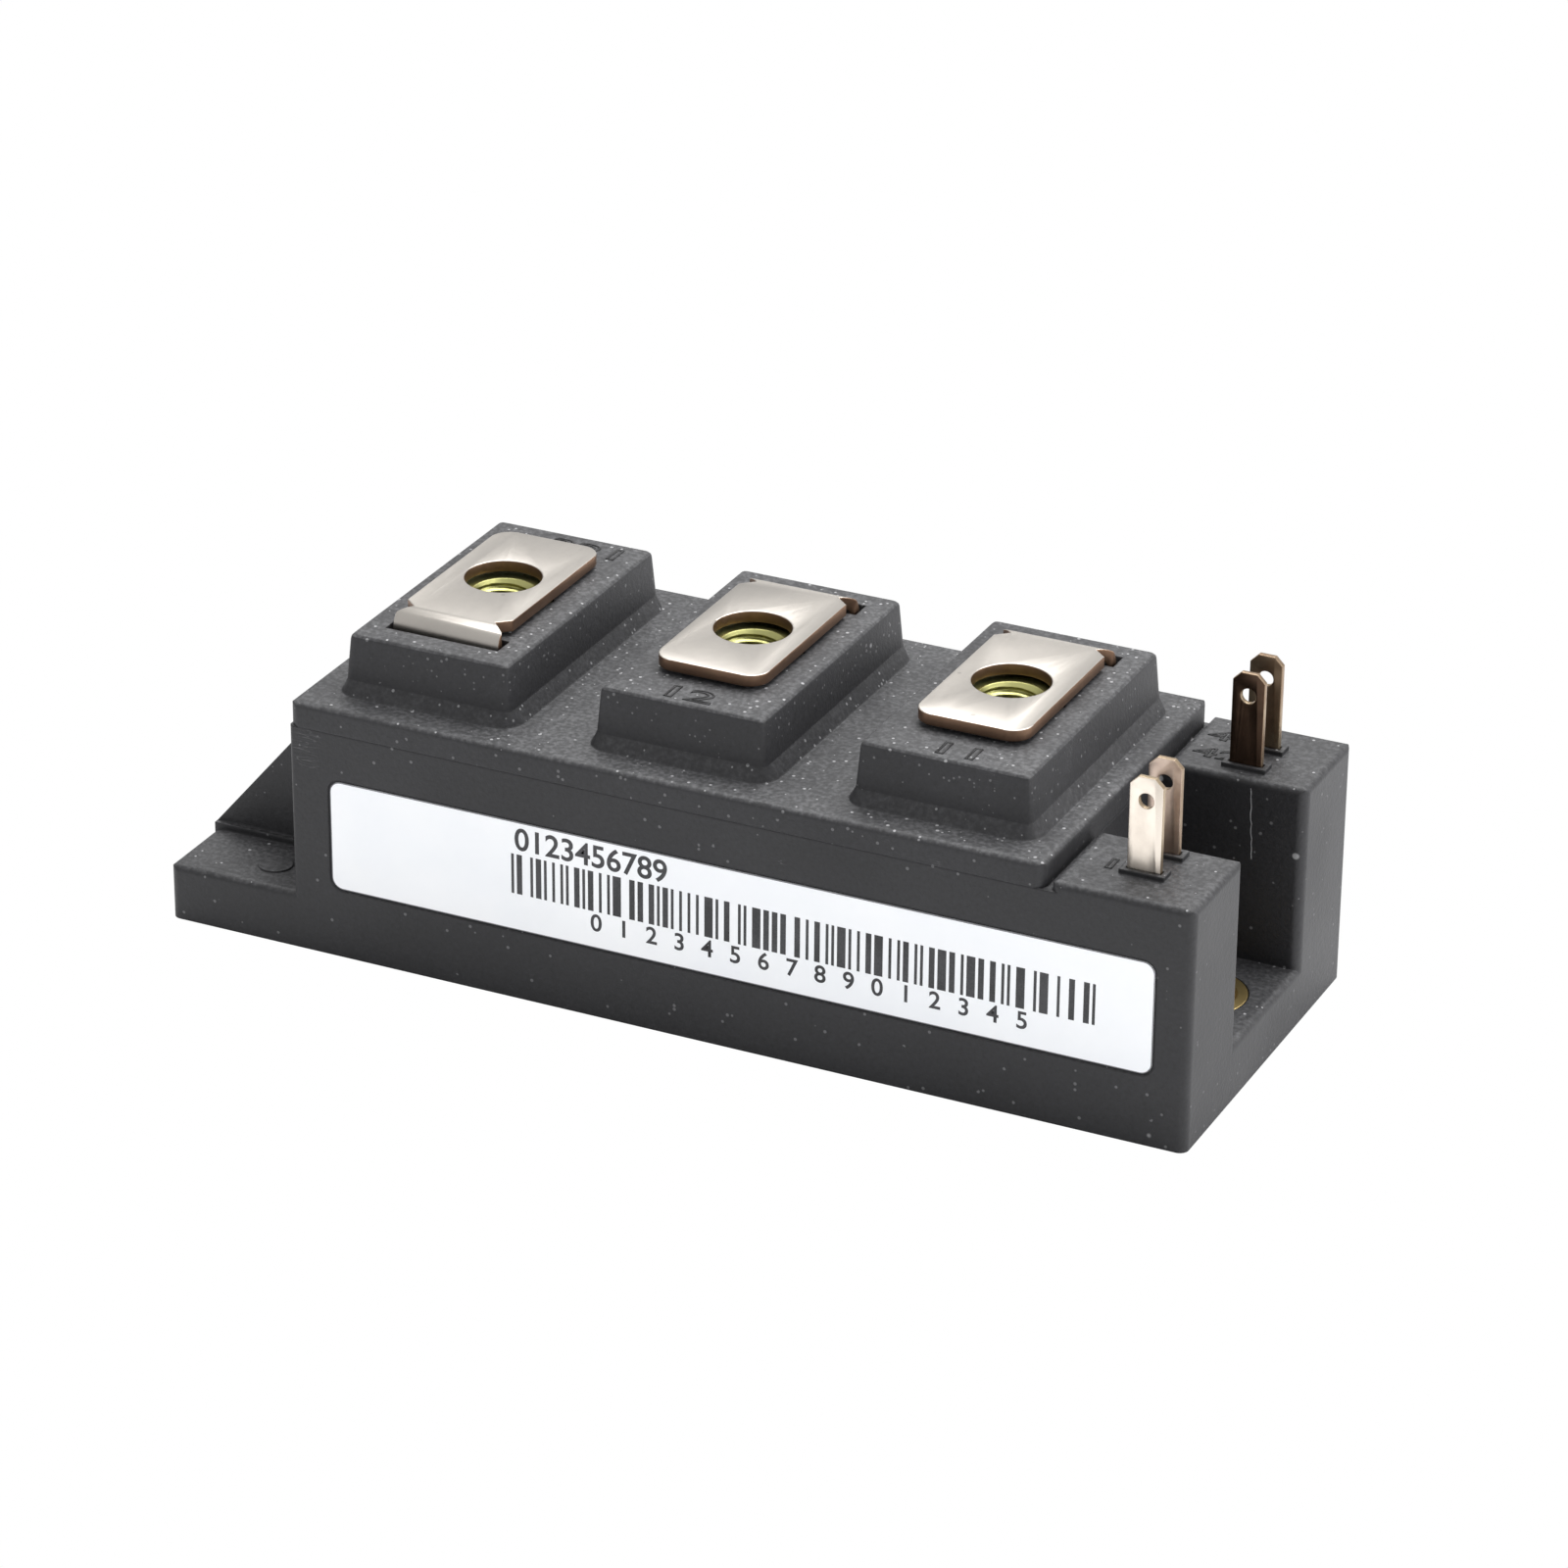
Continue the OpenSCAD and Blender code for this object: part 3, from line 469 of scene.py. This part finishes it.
def softened(name, node, slot, width, is_cut, *materials):
    """A copy of a CAD node with merged faces and rounded edges; is_cut picks the second material."""
    bm = bmesh.new()
    bm.from_mesh(NODES[node].data)
    bmesh.ops.remove_doubles(bm, verts=bm.verts, dist=0.002 * MM)
    bmesh.ops.dissolve_limit(bm, angle_limit=math.radians(0.6), verts=bm.verts, edges=bm.edges,
                             delimit=set())
    bm.normal_update()
    for face in bm.faces:
        face.smooth = True
        face.material_index = int(is_cut(face))
    mesh = bpy.data.meshes.new(name)
    bm.to_mesh(mesh)
    bm.free()
    piece = add_piece(name, mesh, slot, *materials)
    bevel = piece.modifiers.new("Rounded edges", "BEVEL")
    bevel.width = width
    bevel.segments = 3
    bevel.limit_method = "ANGLE"
    bevel.angle_limit = math.radians(40)
    bevel.harden_normals = True
    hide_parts(node)
    return piece


def middle_of(node):
    low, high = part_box(node)
    return (low + high) / 2


def digits_mesh(text, height, outline=0.0, bold=0.0):
    """Plain digits in the XY plane, from the origin. An outline is a raised line's radius, bold a
    share of the height. They are made in millimetres, where their faces fill without gaps."""
    curve = bpy.data.curves.new("digits", "FONT")
    curve.body = text
    curve.size = height / DIGIT_SHARE / MM
    curve.offset = bold * height / MM
    if outline:
        curve.fill_mode = "NONE"
        curve.bevel_depth = outline / MM
        curve.bevel_resolution = 1
    holder = bpy.data.objects.new("digits", curve)
    bpy.context.scene.collection.objects.link(holder)
    mesh = bpy.data.meshes.new_from_object(holder.evaluated_get(bpy.context.evaluated_depsgraph_get()))
    bpy.data.objects.remove(holder)
    bpy.data.curves.remove(curve)
    mesh.transform(Matrix.Scale(MM, 4))
    return mesh


def place(mesh, origin, x_axis, y_axis):
    """Moves a flat mesh so that its X and Y lie along two axes from an origin."""
    x, y = Vector(x_axis).normalized(), Vector(y_axis).normalized()
    mesh.transform(Matrix.Translation(origin) @ Matrix((x, y, x.cross(y))).transposed().to_4x4())
    return mesh


def ring_grid(rings, name):
    """Skins closed rings of equal point counts into one mesh."""
    count = len(rings[0])
    points = [p for ring in rings for p in ring]
    faces = []
    for r in range(len(rings) - 1):
        for k in range(count):
            a, b = r * count + k, r * count + (k + 1) % count
            faces.append((a, b, b + count, a + count))
    mesh = bpy.data.meshes.new(name)
    mesh.from_pydata(points, [], faces)
    mesh.validate()
    return mesh


# ---------------------------------------------------------------- pieces

class MODULE_OT_case(bpy.types.Operator):
    """Give the case and its lid their moulded plastic"""
    bl_idname = "module.case"
    bl_label = "Case and lid"

    def execute(self, context):
        looks, sizes = context.scene.module_looks, context.scene.module_sizes
        paint(["case_frame"], plastic("Case plastic", looks.case, looks, sizes, 0.05, 0.35, 0.5))
        self.lid(plastic("Lid plastic", looks.lid, looks, sizes, 0.15, 0.45, 0.55))
        return {"FINISHED"}

    def lid(self, material):
        """The lid with crisper tower corners and a slimmer skirt than its solid."""
        mesh = NODES["terminal_lid"].data.copy()
        mesh.materials.clear()
        towers = [middle_of(nut).x for nut in NUTS]
        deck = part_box("terminal_lid")[0].z + DECK_RISE
        for v in mesh.vertices:
            if v.co.z >= deck - 0.01 * MM:
                self.sharpen(v.co, min(towers, key=lambda x: abs(v.co.x - x)))
        self.merge_flats(mesh)
        if "custom_normal" in mesh.attributes:
            mesh.attributes.remove(mesh.attributes["custom_normal"])
        for face in mesh.polygons:
            face.use_smooth = True
        mesh.set_sharp_from_angle(angle=math.radians(28))
        piece = add_piece("terminal_lid_crisp", mesh, "lid_plastic", material)
        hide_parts("terminal_lid")

    def sharpen(self, spot, tower_x):
        """Moves one point of a tower: its corners get squarer, its skirt's outer edge goes inwards."""
        x, y = spot.x - tower_x, spot.y
        out = Vector((max(abs(x) - CORNER_X, 0), max(abs(y) - CORNER_Y, 0)))
        if not WALL_NEAR < out.length < SKIRT_FAR:
            return
        if out.length > WALL_FAR:
            out *= 1 - SKIRT_SLIMMER / out.length
        else:
            across, along = out / out.length
            out /= (across ** CORNER_POWER + along ** CORNER_POWER) ** (1 / CORNER_POWER)
        if out.x:
            spot.x = tower_x + math.copysign(CORNER_X + out.x, x)
        if out.y:
            spot.y = math.copysign(CORNER_Y + out.y, y)

    def merge_flats(self, mesh):
        """Merges flat neighbours into clean faces."""
        bm = bmesh.new()
        bm.from_mesh(mesh)
        bmesh.ops.remove_doubles(bm, verts=bm.verts, dist=0.001 * MM)
        bmesh.ops.dissolve_limit(bm, angle_limit=math.radians(0.3), verts=bm.verts, edges=bm.edges)
        bmesh.ops.triangulate(bm, faces=[f for f in bm.faces if len(f.verts) > 4])
        bm.to_mesh(mesh)
        bm.free()


class MODULE_OT_terminals(bpy.types.Operator):
    """Replace the three terminal strips by stamped strips with rounded edges"""
    bl_idname = "module.terminals"
    bl_label = "Terminals"

    def execute(self, context):
        looks, sizes = context.scene.module_looks, context.scene.module_sizes
        faces = metal("Terminal plating", looks.plating, darker(looks.plating, 0.8), 0.34)
        edges = metal("Terminal edges", looks.cut, darker(looks.cut, 0.6), 0.42, True, 0.7)

        def is_cut(face):
            """Whether a face is a sheared edge and not a plated flat."""
            n = face.normal
            return abs(n.x) > 0.3 or (abs(n.z) < 0.3 and abs(face.calc_center_median().y) < 9 * MM)

        for node in TERMINALS:
            softened(node + "_strip", node, "terminal_nickel", sizes.edge, is_cut, faces, edges)
        return {"FINISHED"}


class MODULE_OT_nuts(bpy.types.Operator):
    """Replace the captive nuts by chamfered nuts with a cut thread"""
    bl_idname = "module.nuts"
    bl_label = "Captive nuts"

    def execute(self, context):
        looks, sizes = context.scene.module_looks, context.scene.module_sizes
        zinc = metal("Nut zinc", looks.nut, darker(looks.nut, 0.55), 0.3, False, 0.6)
        for node in NUTS:
            low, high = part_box(node)
            mesh = self.nut(low, high, sizes.thread_pitch, sizes.thread_depth)
            piece = add_piece(node + "_threaded", mesh, "nut_steel", zinc)
            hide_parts(node)
        return {"FINISHED"}

    def nut(self, low, high, pitch, depth):
        """A chamfered hexagon nut, as closed rings from its threaded bore out to its flats."""
        count, per_turn = 72, 12
        x, y = (low.x + high.x) / 2, (low.y + high.y) / 2
        apothem = min(high.x - low.x, high.y - low.y) / 2
        round_r, core, sink = apothem * 0.99, 2.1 * MM, 2.7 * MM
        flat = 0 if high.y - low.y < high.x - low.x else 30
        steps = int((high.z - low.z) / pitch * per_turn)

        def ring(radius, z):
            """A ring whose radius, and height where it is a function, follow the angle."""
            out = []
            for k in range(count):
                a = 2 * math.pi * k / count
                out.append((x + radius(a) * math.cos(a), y + radius(a) * math.sin(a),
                            z(a) if callable(z) else z))
            return out

        def hexagon(a):
            turn = (math.degrees(a) + flat) % 60 - 30
            return apothem / math.cos(math.radians(turn))

        def thread(z):
            def radius(a):
                phase = ((z - low.z) / pitch - a / (2 * math.pi)) % 1
                tooth = core + depth * min(1.0, max(0.0, 1.9 * abs(2 * phase - 1) - 0.35))
                ends = sink - min(z - low.z, high.z - z)
                return max(tooth, ends)
            return radius

        drop = math.tan(math.radians(30))
        levels = [low.z + (high.z - low.z) * s / steps for s in range(steps + 1)]
        rings = [ring(thread(z), z) for z in levels]
        rings.append(ring(lambda a: round_r, high.z))
        rings.append(ring(hexagon, lambda a: high.z - (hexagon(a) - round_r) * drop))
        rings.append(ring(hexagon, lambda a: low.z + (hexagon(a) - round_r) * drop))
        rings.append(ring(lambda a: round_r, low.z))
        rings.append(rings[0])
        mesh = ring_grid(rings, "nut")
        bm = bmesh.new()
        bm.from_mesh(mesh)
        bmesh.ops.remove_doubles(bm, verts=bm.verts, dist=0.001 * MM)
        bmesh.ops.recalc_face_normals(bm, faces=bm.faces)
        bm.to_mesh(mesh)
        bm.free()
        return mesh


class MODULE_OT_tabs(bpy.types.Operator):
    """Replace the control tabs by stamped tabs with worn tin, three of them darkened as painted shade"""
    bl_idname = "module.tabs"
    bl_label = "Control tabs"

    def execute(self, context):
        looks, sizes = context.scene.module_looks, context.scene.module_sizes
        edges = metal("Tab edges", looks.tab_edge, looks.tab_tarnish_and_shade, 0.4, True, 0.7)
        # The tabs are one tin: the upper gate, lower gate and lower sense tabs are darkened copies, painted
        # shade; the lower gate tab, at a third of the tarnish colour, is the darkest.
        tins = ((looks.tab_painted_shade, 0.5), (looks.tab, 0.25), (darker(looks.tab_tarnish_and_shade, 0.35), 0.4),
                (looks.tab_painted_deep_shade, 0.6))
        for k, (node, (rgb, wear)) in enumerate(zip(TABS, tins), 1):
            faces = metal(f"Tab tin {k}", rgb, looks.tab_tarnish_and_shade, 0.3, True, wear)
            softened(node + "_blade", node, "tab_metal", sizes.edge * 0.5,
                     lambda face: abs(face.normal.y) < 0.5, faces, edges)
        return {"FINISHED"}


class MODULE_OT_base(bpy.types.Operator):
    """Give the base plate and the mounting sleeves their metal"""
    bl_idname = "module.base"
    bl_label = "Base plate and sleeves"

    def execute(self, context):
        looks = context.scene.module_looks
        paint(["base_plate"], metal("Base plate nickel", looks.nickel, looks.nickel_worn, 0.38))
        paint(["left_mounting_sleeve", "right_mounting_sleeve"],
              metal("Sleeve brass", looks.brass, darker(looks.brass, 0.6), 0.3, False))
        return {"FINISHED"}


class MODULE_OT_circuit(bpy.types.Operator):
    """Give the sealed circuit its materials"""
    bl_idname = "module.circuit"
    bl_label = "Sealed circuit"

    def execute(self, context):
        looks = context.scene.module_looks
        paint(["collector_track", "output_track", "emitter_track", "upper_gate_track",
               "lower_gate_track", "back_foil"],
              metal("Circuit copper", looks.copper, looks.copper_worn, 0.35, False))
        paint(["chip_solder", "substrate_solder"], cast("Solder", looks.solder, 0.4, Metallic=1.0))
        paint(["ceramic_substrate"], cast("White ceramic", looks.ceramic, 0.55))
        paint(["upper_igbt_chip", "upper_diode_chip", "lower_igbt_chip", "lower_diode_chip"],
              cast("Chip metal", looks.chip, 0.25, Metallic=0.8))
        paint(["upper_bond_wires", "lower_bond_wires", "gate_bond_wires"],
              cast("Wire aluminium", looks.wire, 0.3, Metallic=1.0))
        paint(["silicone_gel"], cast("Silicone gel", looks.gel, 0.15, Transmission_Weight=0.85))
        paint(["epoxy_seal"], cast("Black epoxy", looks.epoxy, 0.3))
        return {"FINISHED"}


class MODULE_OT_label(bpy.types.Operator):
    """Give the label its paper, bars, plain digits and outline"""
    bl_idname = "module.label"
    bl_label = "Label"

    def execute(self, context):
        looks, sizes = context.scene.module_looks, context.scene.module_sizes
        paint(["rating_label"], paper("Label paper", looks))
        black = ink("Label ink", looks.ink)
        low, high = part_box("rating_label")
        front = low.y - PRINT_GAP
        left, right = low.x + PRINT_START * (high.x - low.x), high.x - PRINT_MARGIN
        bars = self.bars(random.Random(sizes.seed), left, right, low.z + BARS_LOW, low.z + BARS_HIGH,
                         front, sizes.bar)
        add_piece("label_bars", bars, "label_paper", black)
        row = self.spread("0123456789012345", sizes.digit, left + ROW_START, left + ROW_END,
                          low.z + ROW_RISE, front)
        add_piece("label_digits", row, "label_paper", black)
        heading = digits_mesh("0123456789", sizes.digit * HEADING_SCALE, 0, BOLD)
        place(heading, (left + HEADING_START, front, low.z + HEADING_RISE), (1, 0, 0), (0, 0, 1))
        add_piece("label_heading_digits", heading, "label_paper", black)
        edge = ink("Label outline", looks.outline)
        add_piece("label_outline", self.outline(low, high, front), "label_paper", edge)
        return {"FINISHED"}

    def bars(self, rng, left, right, bottom, top, front, unit):
        """Upright bars and gaps of one, two or three units."""
        points, faces, x = [], [], left
        while x < right - unit:
            wide = unit * rng.choice((1, 1, 1, 2, 2, 3))
            wide = min(wide, right - x)
            k = len(points)
            points += [(x, front, bottom), (x + wide, front, bottom), (x + wide, front, top),
                       (x, front, top)]
            faces.append((k, k + 1, k + 2, k + 3))
            x += wide + unit * rng.choice((1, 1, 1, 2, 2, 3))
        mesh = bpy.data.meshes.new("bars")
        mesh.from_pydata(points, [], faces)
        return mesh

    def spread(self, text, height, left, right, bottom, front):
        """Digits at equal steps, joined into one mesh."""
        bm = bmesh.new()
        for k, char in enumerate(text):
            one = digits_mesh(char, height, 0, BOLD)
            x = left + (right - left) * k / (len(text) - 1)
            place(one, (x, front, bottom), (1, 0, 0), (0, 0, 1))
            bm.from_mesh(one)
            bpy.data.meshes.remove(one)
        mesh = bpy.data.meshes.new("digits")
        bm.to_mesh(mesh)
        bm.free()
        return mesh

    def outline(self, low, high, front):
        """A thin line round the label with its rounded corners."""
        corners = ((high.x, high.z, 0), (low.x, high.z, 90), (low.x, low.z, 180), (high.x, low.z, 270))
        middle = (low + high) / 2
        rings = []
        for inset in (0.0, OUTLINE_WIDTH):
            ring, radius = [], LABEL_CORNER - inset
            for x, z, turn in corners:
                centre_x = x - math.copysign(LABEL_CORNER, x - middle.x)
                centre_z = z - math.copysign(LABEL_CORNER, z - middle.z)
                for step in range(9):
                    a = math.radians(turn + step * 90 / 8)
                    ring.append((centre_x + radius * math.cos(a), front, centre_z + radius * math.sin(a)))
            rings.append(ring)
        return ring_grid(rings, "outline")


class MODULE_OT_marks(bpy.types.Operator):
    """Add the plain digits moulded on the towers and ears, in darker plastic that paints their shadow"""
    bl_idname = "module.marks"
    bl_label = "Moulded digits"

    def execute(self, context):
        looks, sizes = context.scene.module_looks, context.scene.module_sizes
        # The digits are lid plastic at a third of its brightness, a painted shadow along their raised
        # strokes.
        mark_shadow_plastic = plastic("Mark plastic with painted shadow", darker(looks.lid, 0.35), looks, sizes, 0.02, 0.05, 0.5)
        tower_top, case_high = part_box("output_nut")[1].z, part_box("case_frame")[1]
        ear_top = case_high.z - COLLAR_RISE
        output, emitter, collector = (middle_of(nut).x for nut in NUTS)
        places = (("tower_mark_3", "321", output - 1.5 * MM, 9.75 * MM, tower_top, 1.0),
                  ("tower_mark_2", "12", emitter - 2.9 * MM, -12.35 * MM, tower_top, 1.0),
                  ("tower_mark_1", "11", collector - 2.1 * MM, -12.3 * MM, tower_top, 1.0),
                  ("rear_ear_mark_a", "45", case_high.x - 11 * MM, 12.6 * MM, ear_top, EAR_MARK),
                  ("rear_ear_mark_b", "42", case_high.x - 11 * MM, 9.2 * MM, ear_top, EAR_MARK),
                  ("front_ear_mark", "11", case_high.x - 10 * MM, -12.9 * MM, ear_top, EAR_MARK))
        for name, text, x, y, z, scale in places:
            mesh = digits_mesh(text, sizes.mark * scale, MARK_LINE)
            mesh.transform(Matrix.Diagonal((MARK_STRETCH, 1, 1, 1)))
            place(mesh, (x, y, z), (1, 0, 0), (0, 1, 0))
            add_piece(name, mesh, "lid_plastic", mark_shadow_plastic)
        # The mould line's pale plastic is a painted highlight along the ridge.
        self.mould_line_painted_highlight(case_high, plastic("Mould line, painted highlight", looks.mould_line_painted_highlight, looks, sizes, 0.05, 0.1, 0.5))
        return {"FINISHED"}

    def mould_line_painted_highlight(self, case_high, material):
        """A thin line that wanders down the inner wall of the rear ear, pale as a painted highlight on the
        ridge.
        """
        rng, radius, step = random.Random(3), 0.045 * MM, 0.45 * MM
        start = case_high - Vector((4.8 * MM, 0, 1.2 * MM))
        wall = 6.9 * MM
        rings = []
        for k in range(15):
            x = start.x + (0.05 * rng.uniform(-1, 1) + 0.02 * k) * MM
            rings.append([(x + radius * math.cos(a), wall + radius * math.sin(a), start.z - step * k)
                          for a in (side * math.pi / 3 for side in range(6))])
        add_piece("mould_line_painted_highlight", ring_grid(rings, "mould_line_painted_highlight"), "case_plastic", material)


# ---------------------------------------------------------------- stage

class MODULE_OT_stage(bpy.types.Operator):
    """Build the pale floor, the soft light and the camera"""
    bl_idname = "module.stage"
    bl_label = "Stage"

    def execute(self, context):
        settings = context.scene.module_stage
        self.floor(context.scene)
        self.world(context.scene, settings)
        self.softbox("Key softbox", (0.03, 0.27, 0.74), (0, 0, 0.01), 0.75, 0.6, settings.key)
        self.softbox("Side softbox", (0.75, 0.12, 0.34), (0.02, 0, 0.01), 0.5, 0.4, settings.side)
        self.camera(context.scene, settings)
        context.scene.view_settings.view_transform = "Standard"
        return {"FINISHED"}

    def floor(self, scene):
        """A pale floor that the camera sees as plain white."""
        mesh, reach = bpy.data.meshes.new("floor"), 3.0
        corners = [(-reach, -reach, 0), (reach, -reach, 0), (reach, reach, 0), (-reach, reach, 0)]
        mesh.from_pydata(corners, [], [(0, 1, 2, 3)])
        floor = bpy.data.objects.new("floor", mesh)
        scene.collection.objects.link(floor)
        material, t, shader, vector = new_material("Floor white")
        grain = use(t, "Fine grain", Vector=vector, Scale=400.0)
        finish_shader(t, shader, (0.82, 0.82, 0.83), 0.7, grain["Height"], 0.05, 0.0001)
        seen = t.add("Emission", Color=(1.0, 1.0, 1.0), Strength=1.0).outputs[0]
        path = t.add("LightPath").outputs["Is Camera Ray"]
        out = material.node_tree.nodes["Material Output"]
        t.put(out.inputs["Surface"], t.add("MixShader", i0=path, i1=shader.outputs[0], i2=seen).outputs[0])
        mesh.materials.append(material)

    def world(self, scene, settings):
        """A white room: one level for soft light, one for mirror images, white for the camera."""
        world = bpy.data.worlds.new("White room")
        scene.world = world
        world.use_nodes = True
        t = Tree(world.node_tree)
        back = world.node_tree.nodes["Background"]
        path = t.add("LightPath")
        level = t.add("Mix", {"data_type": "FLOAT"}, i0=path.outputs["Is Glossy Ray"], i2=settings.fill,
                      i3=settings.shine).outputs[0]
        level = t.add("Mix", {"data_type": "FLOAT"}, i0=path.outputs["Is Camera Ray"], i2=level,
                      i3=1.0).outputs[0]
        t.put(back.inputs["Color"], (1.0, 1.0, 1.0))
        t.put(back.inputs["Strength"], level)

    def softbox(self, name, spot, aim, wide, high, power):
        """An area light that faces a point."""
        light = bpy.data.lights.new(name, "AREA")
        light.shape = "RECTANGLE"
        light.size, light.size_y, light.energy = wide, high, power
        lamp = bpy.data.objects.new(name, light)
        lamp.location = spot
        lamp.rotation_euler = (Vector(aim) - Vector(spot)).to_track_quat("-Z", "Y").to_euler()
        bpy.context.scene.collection.objects.link(lamp)

    def camera(self, scene, settings):
        """The camera, turned round Z, tilted down and rolled a little."""
        turn, tilt, roll = (math.radians(angle) for angle in CAMERA_TURNS)
        ahead = Vector((-math.sin(turn) * math.cos(tilt), math.cos(turn) * math.cos(tilt), -math.sin(tilt)))
        right = Vector((math.cos(turn), math.sin(turn), 0))
        up = right.cross(ahead)
        x = right * math.cos(roll) + up * math.sin(roll)
        y = up * math.cos(roll) - right * math.sin(roll)
        data = bpy.data.cameras.new("Camera")
        data.lens, data.sensor_width = settings.lens, 36
        data.clip_start, data.clip_end = 0.01, 20
        camera = bpy.data.objects.new("Camera", data)
        scene.collection.objects.link(camera)
        camera.matrix_world = (Matrix.Translation(CAMERA_SPOT)
                               @ Matrix((x, y, -ahead)).transposed().to_4x4())
        scene.camera = camera


class MODULE_PT_panel(bpy.types.Panel):
    """Settings and steps of the module"""
    bl_idname = "MODULE_PT_panel"
    bl_label = "Power module"
    bl_space_type = "VIEW_3D"
    bl_region_type = "UI"
    bl_category = "Module"

    def draw(self, context):
        for step in STEPS:
            self.layout.operator(step.bl_idname)
        for group in (context.scene.module_looks, context.scene.module_sizes, context.scene.module_stage):
            box = self.layout.box()
            for name in group.__annotations__:
                box.prop(group, name)


STEPS = (MODULE_OT_case, MODULE_OT_terminals, MODULE_OT_nuts, MODULE_OT_tabs, MODULE_OT_base,
         MODULE_OT_circuit, MODULE_OT_label, MODULE_OT_marks, MODULE_OT_stage)
GROUPS = {"module_looks": ModuleLooks, "module_sizes": ModuleSizes, "module_stage": ModuleStage}


def register():
    for cls in (*GROUPS.values(), *STEPS, MODULE_PT_panel):
        bpy.utils.register_class(cls)
    for name, cls in GROUPS.items():
        setattr(bpy.types.Scene, name, PointerProperty(type=cls))


def unregister():
    for name in GROUPS:
        delattr(bpy.types.Scene, name)
    for cls in (MODULE_PT_panel, *reversed(STEPS), *GROUPS.values()):
        bpy.utils.unregister_class(cls)


def main():
    register()
    shader_groups()
    for step in STEPS:
        area, name = step.bl_idname.split(".")
        if getattr(getattr(bpy.ops, area), name)() != {"FINISHED"}:
            raise RuntimeError(f"{step.bl_idname} did not finish")


if __name__ == "__main__":
    main()
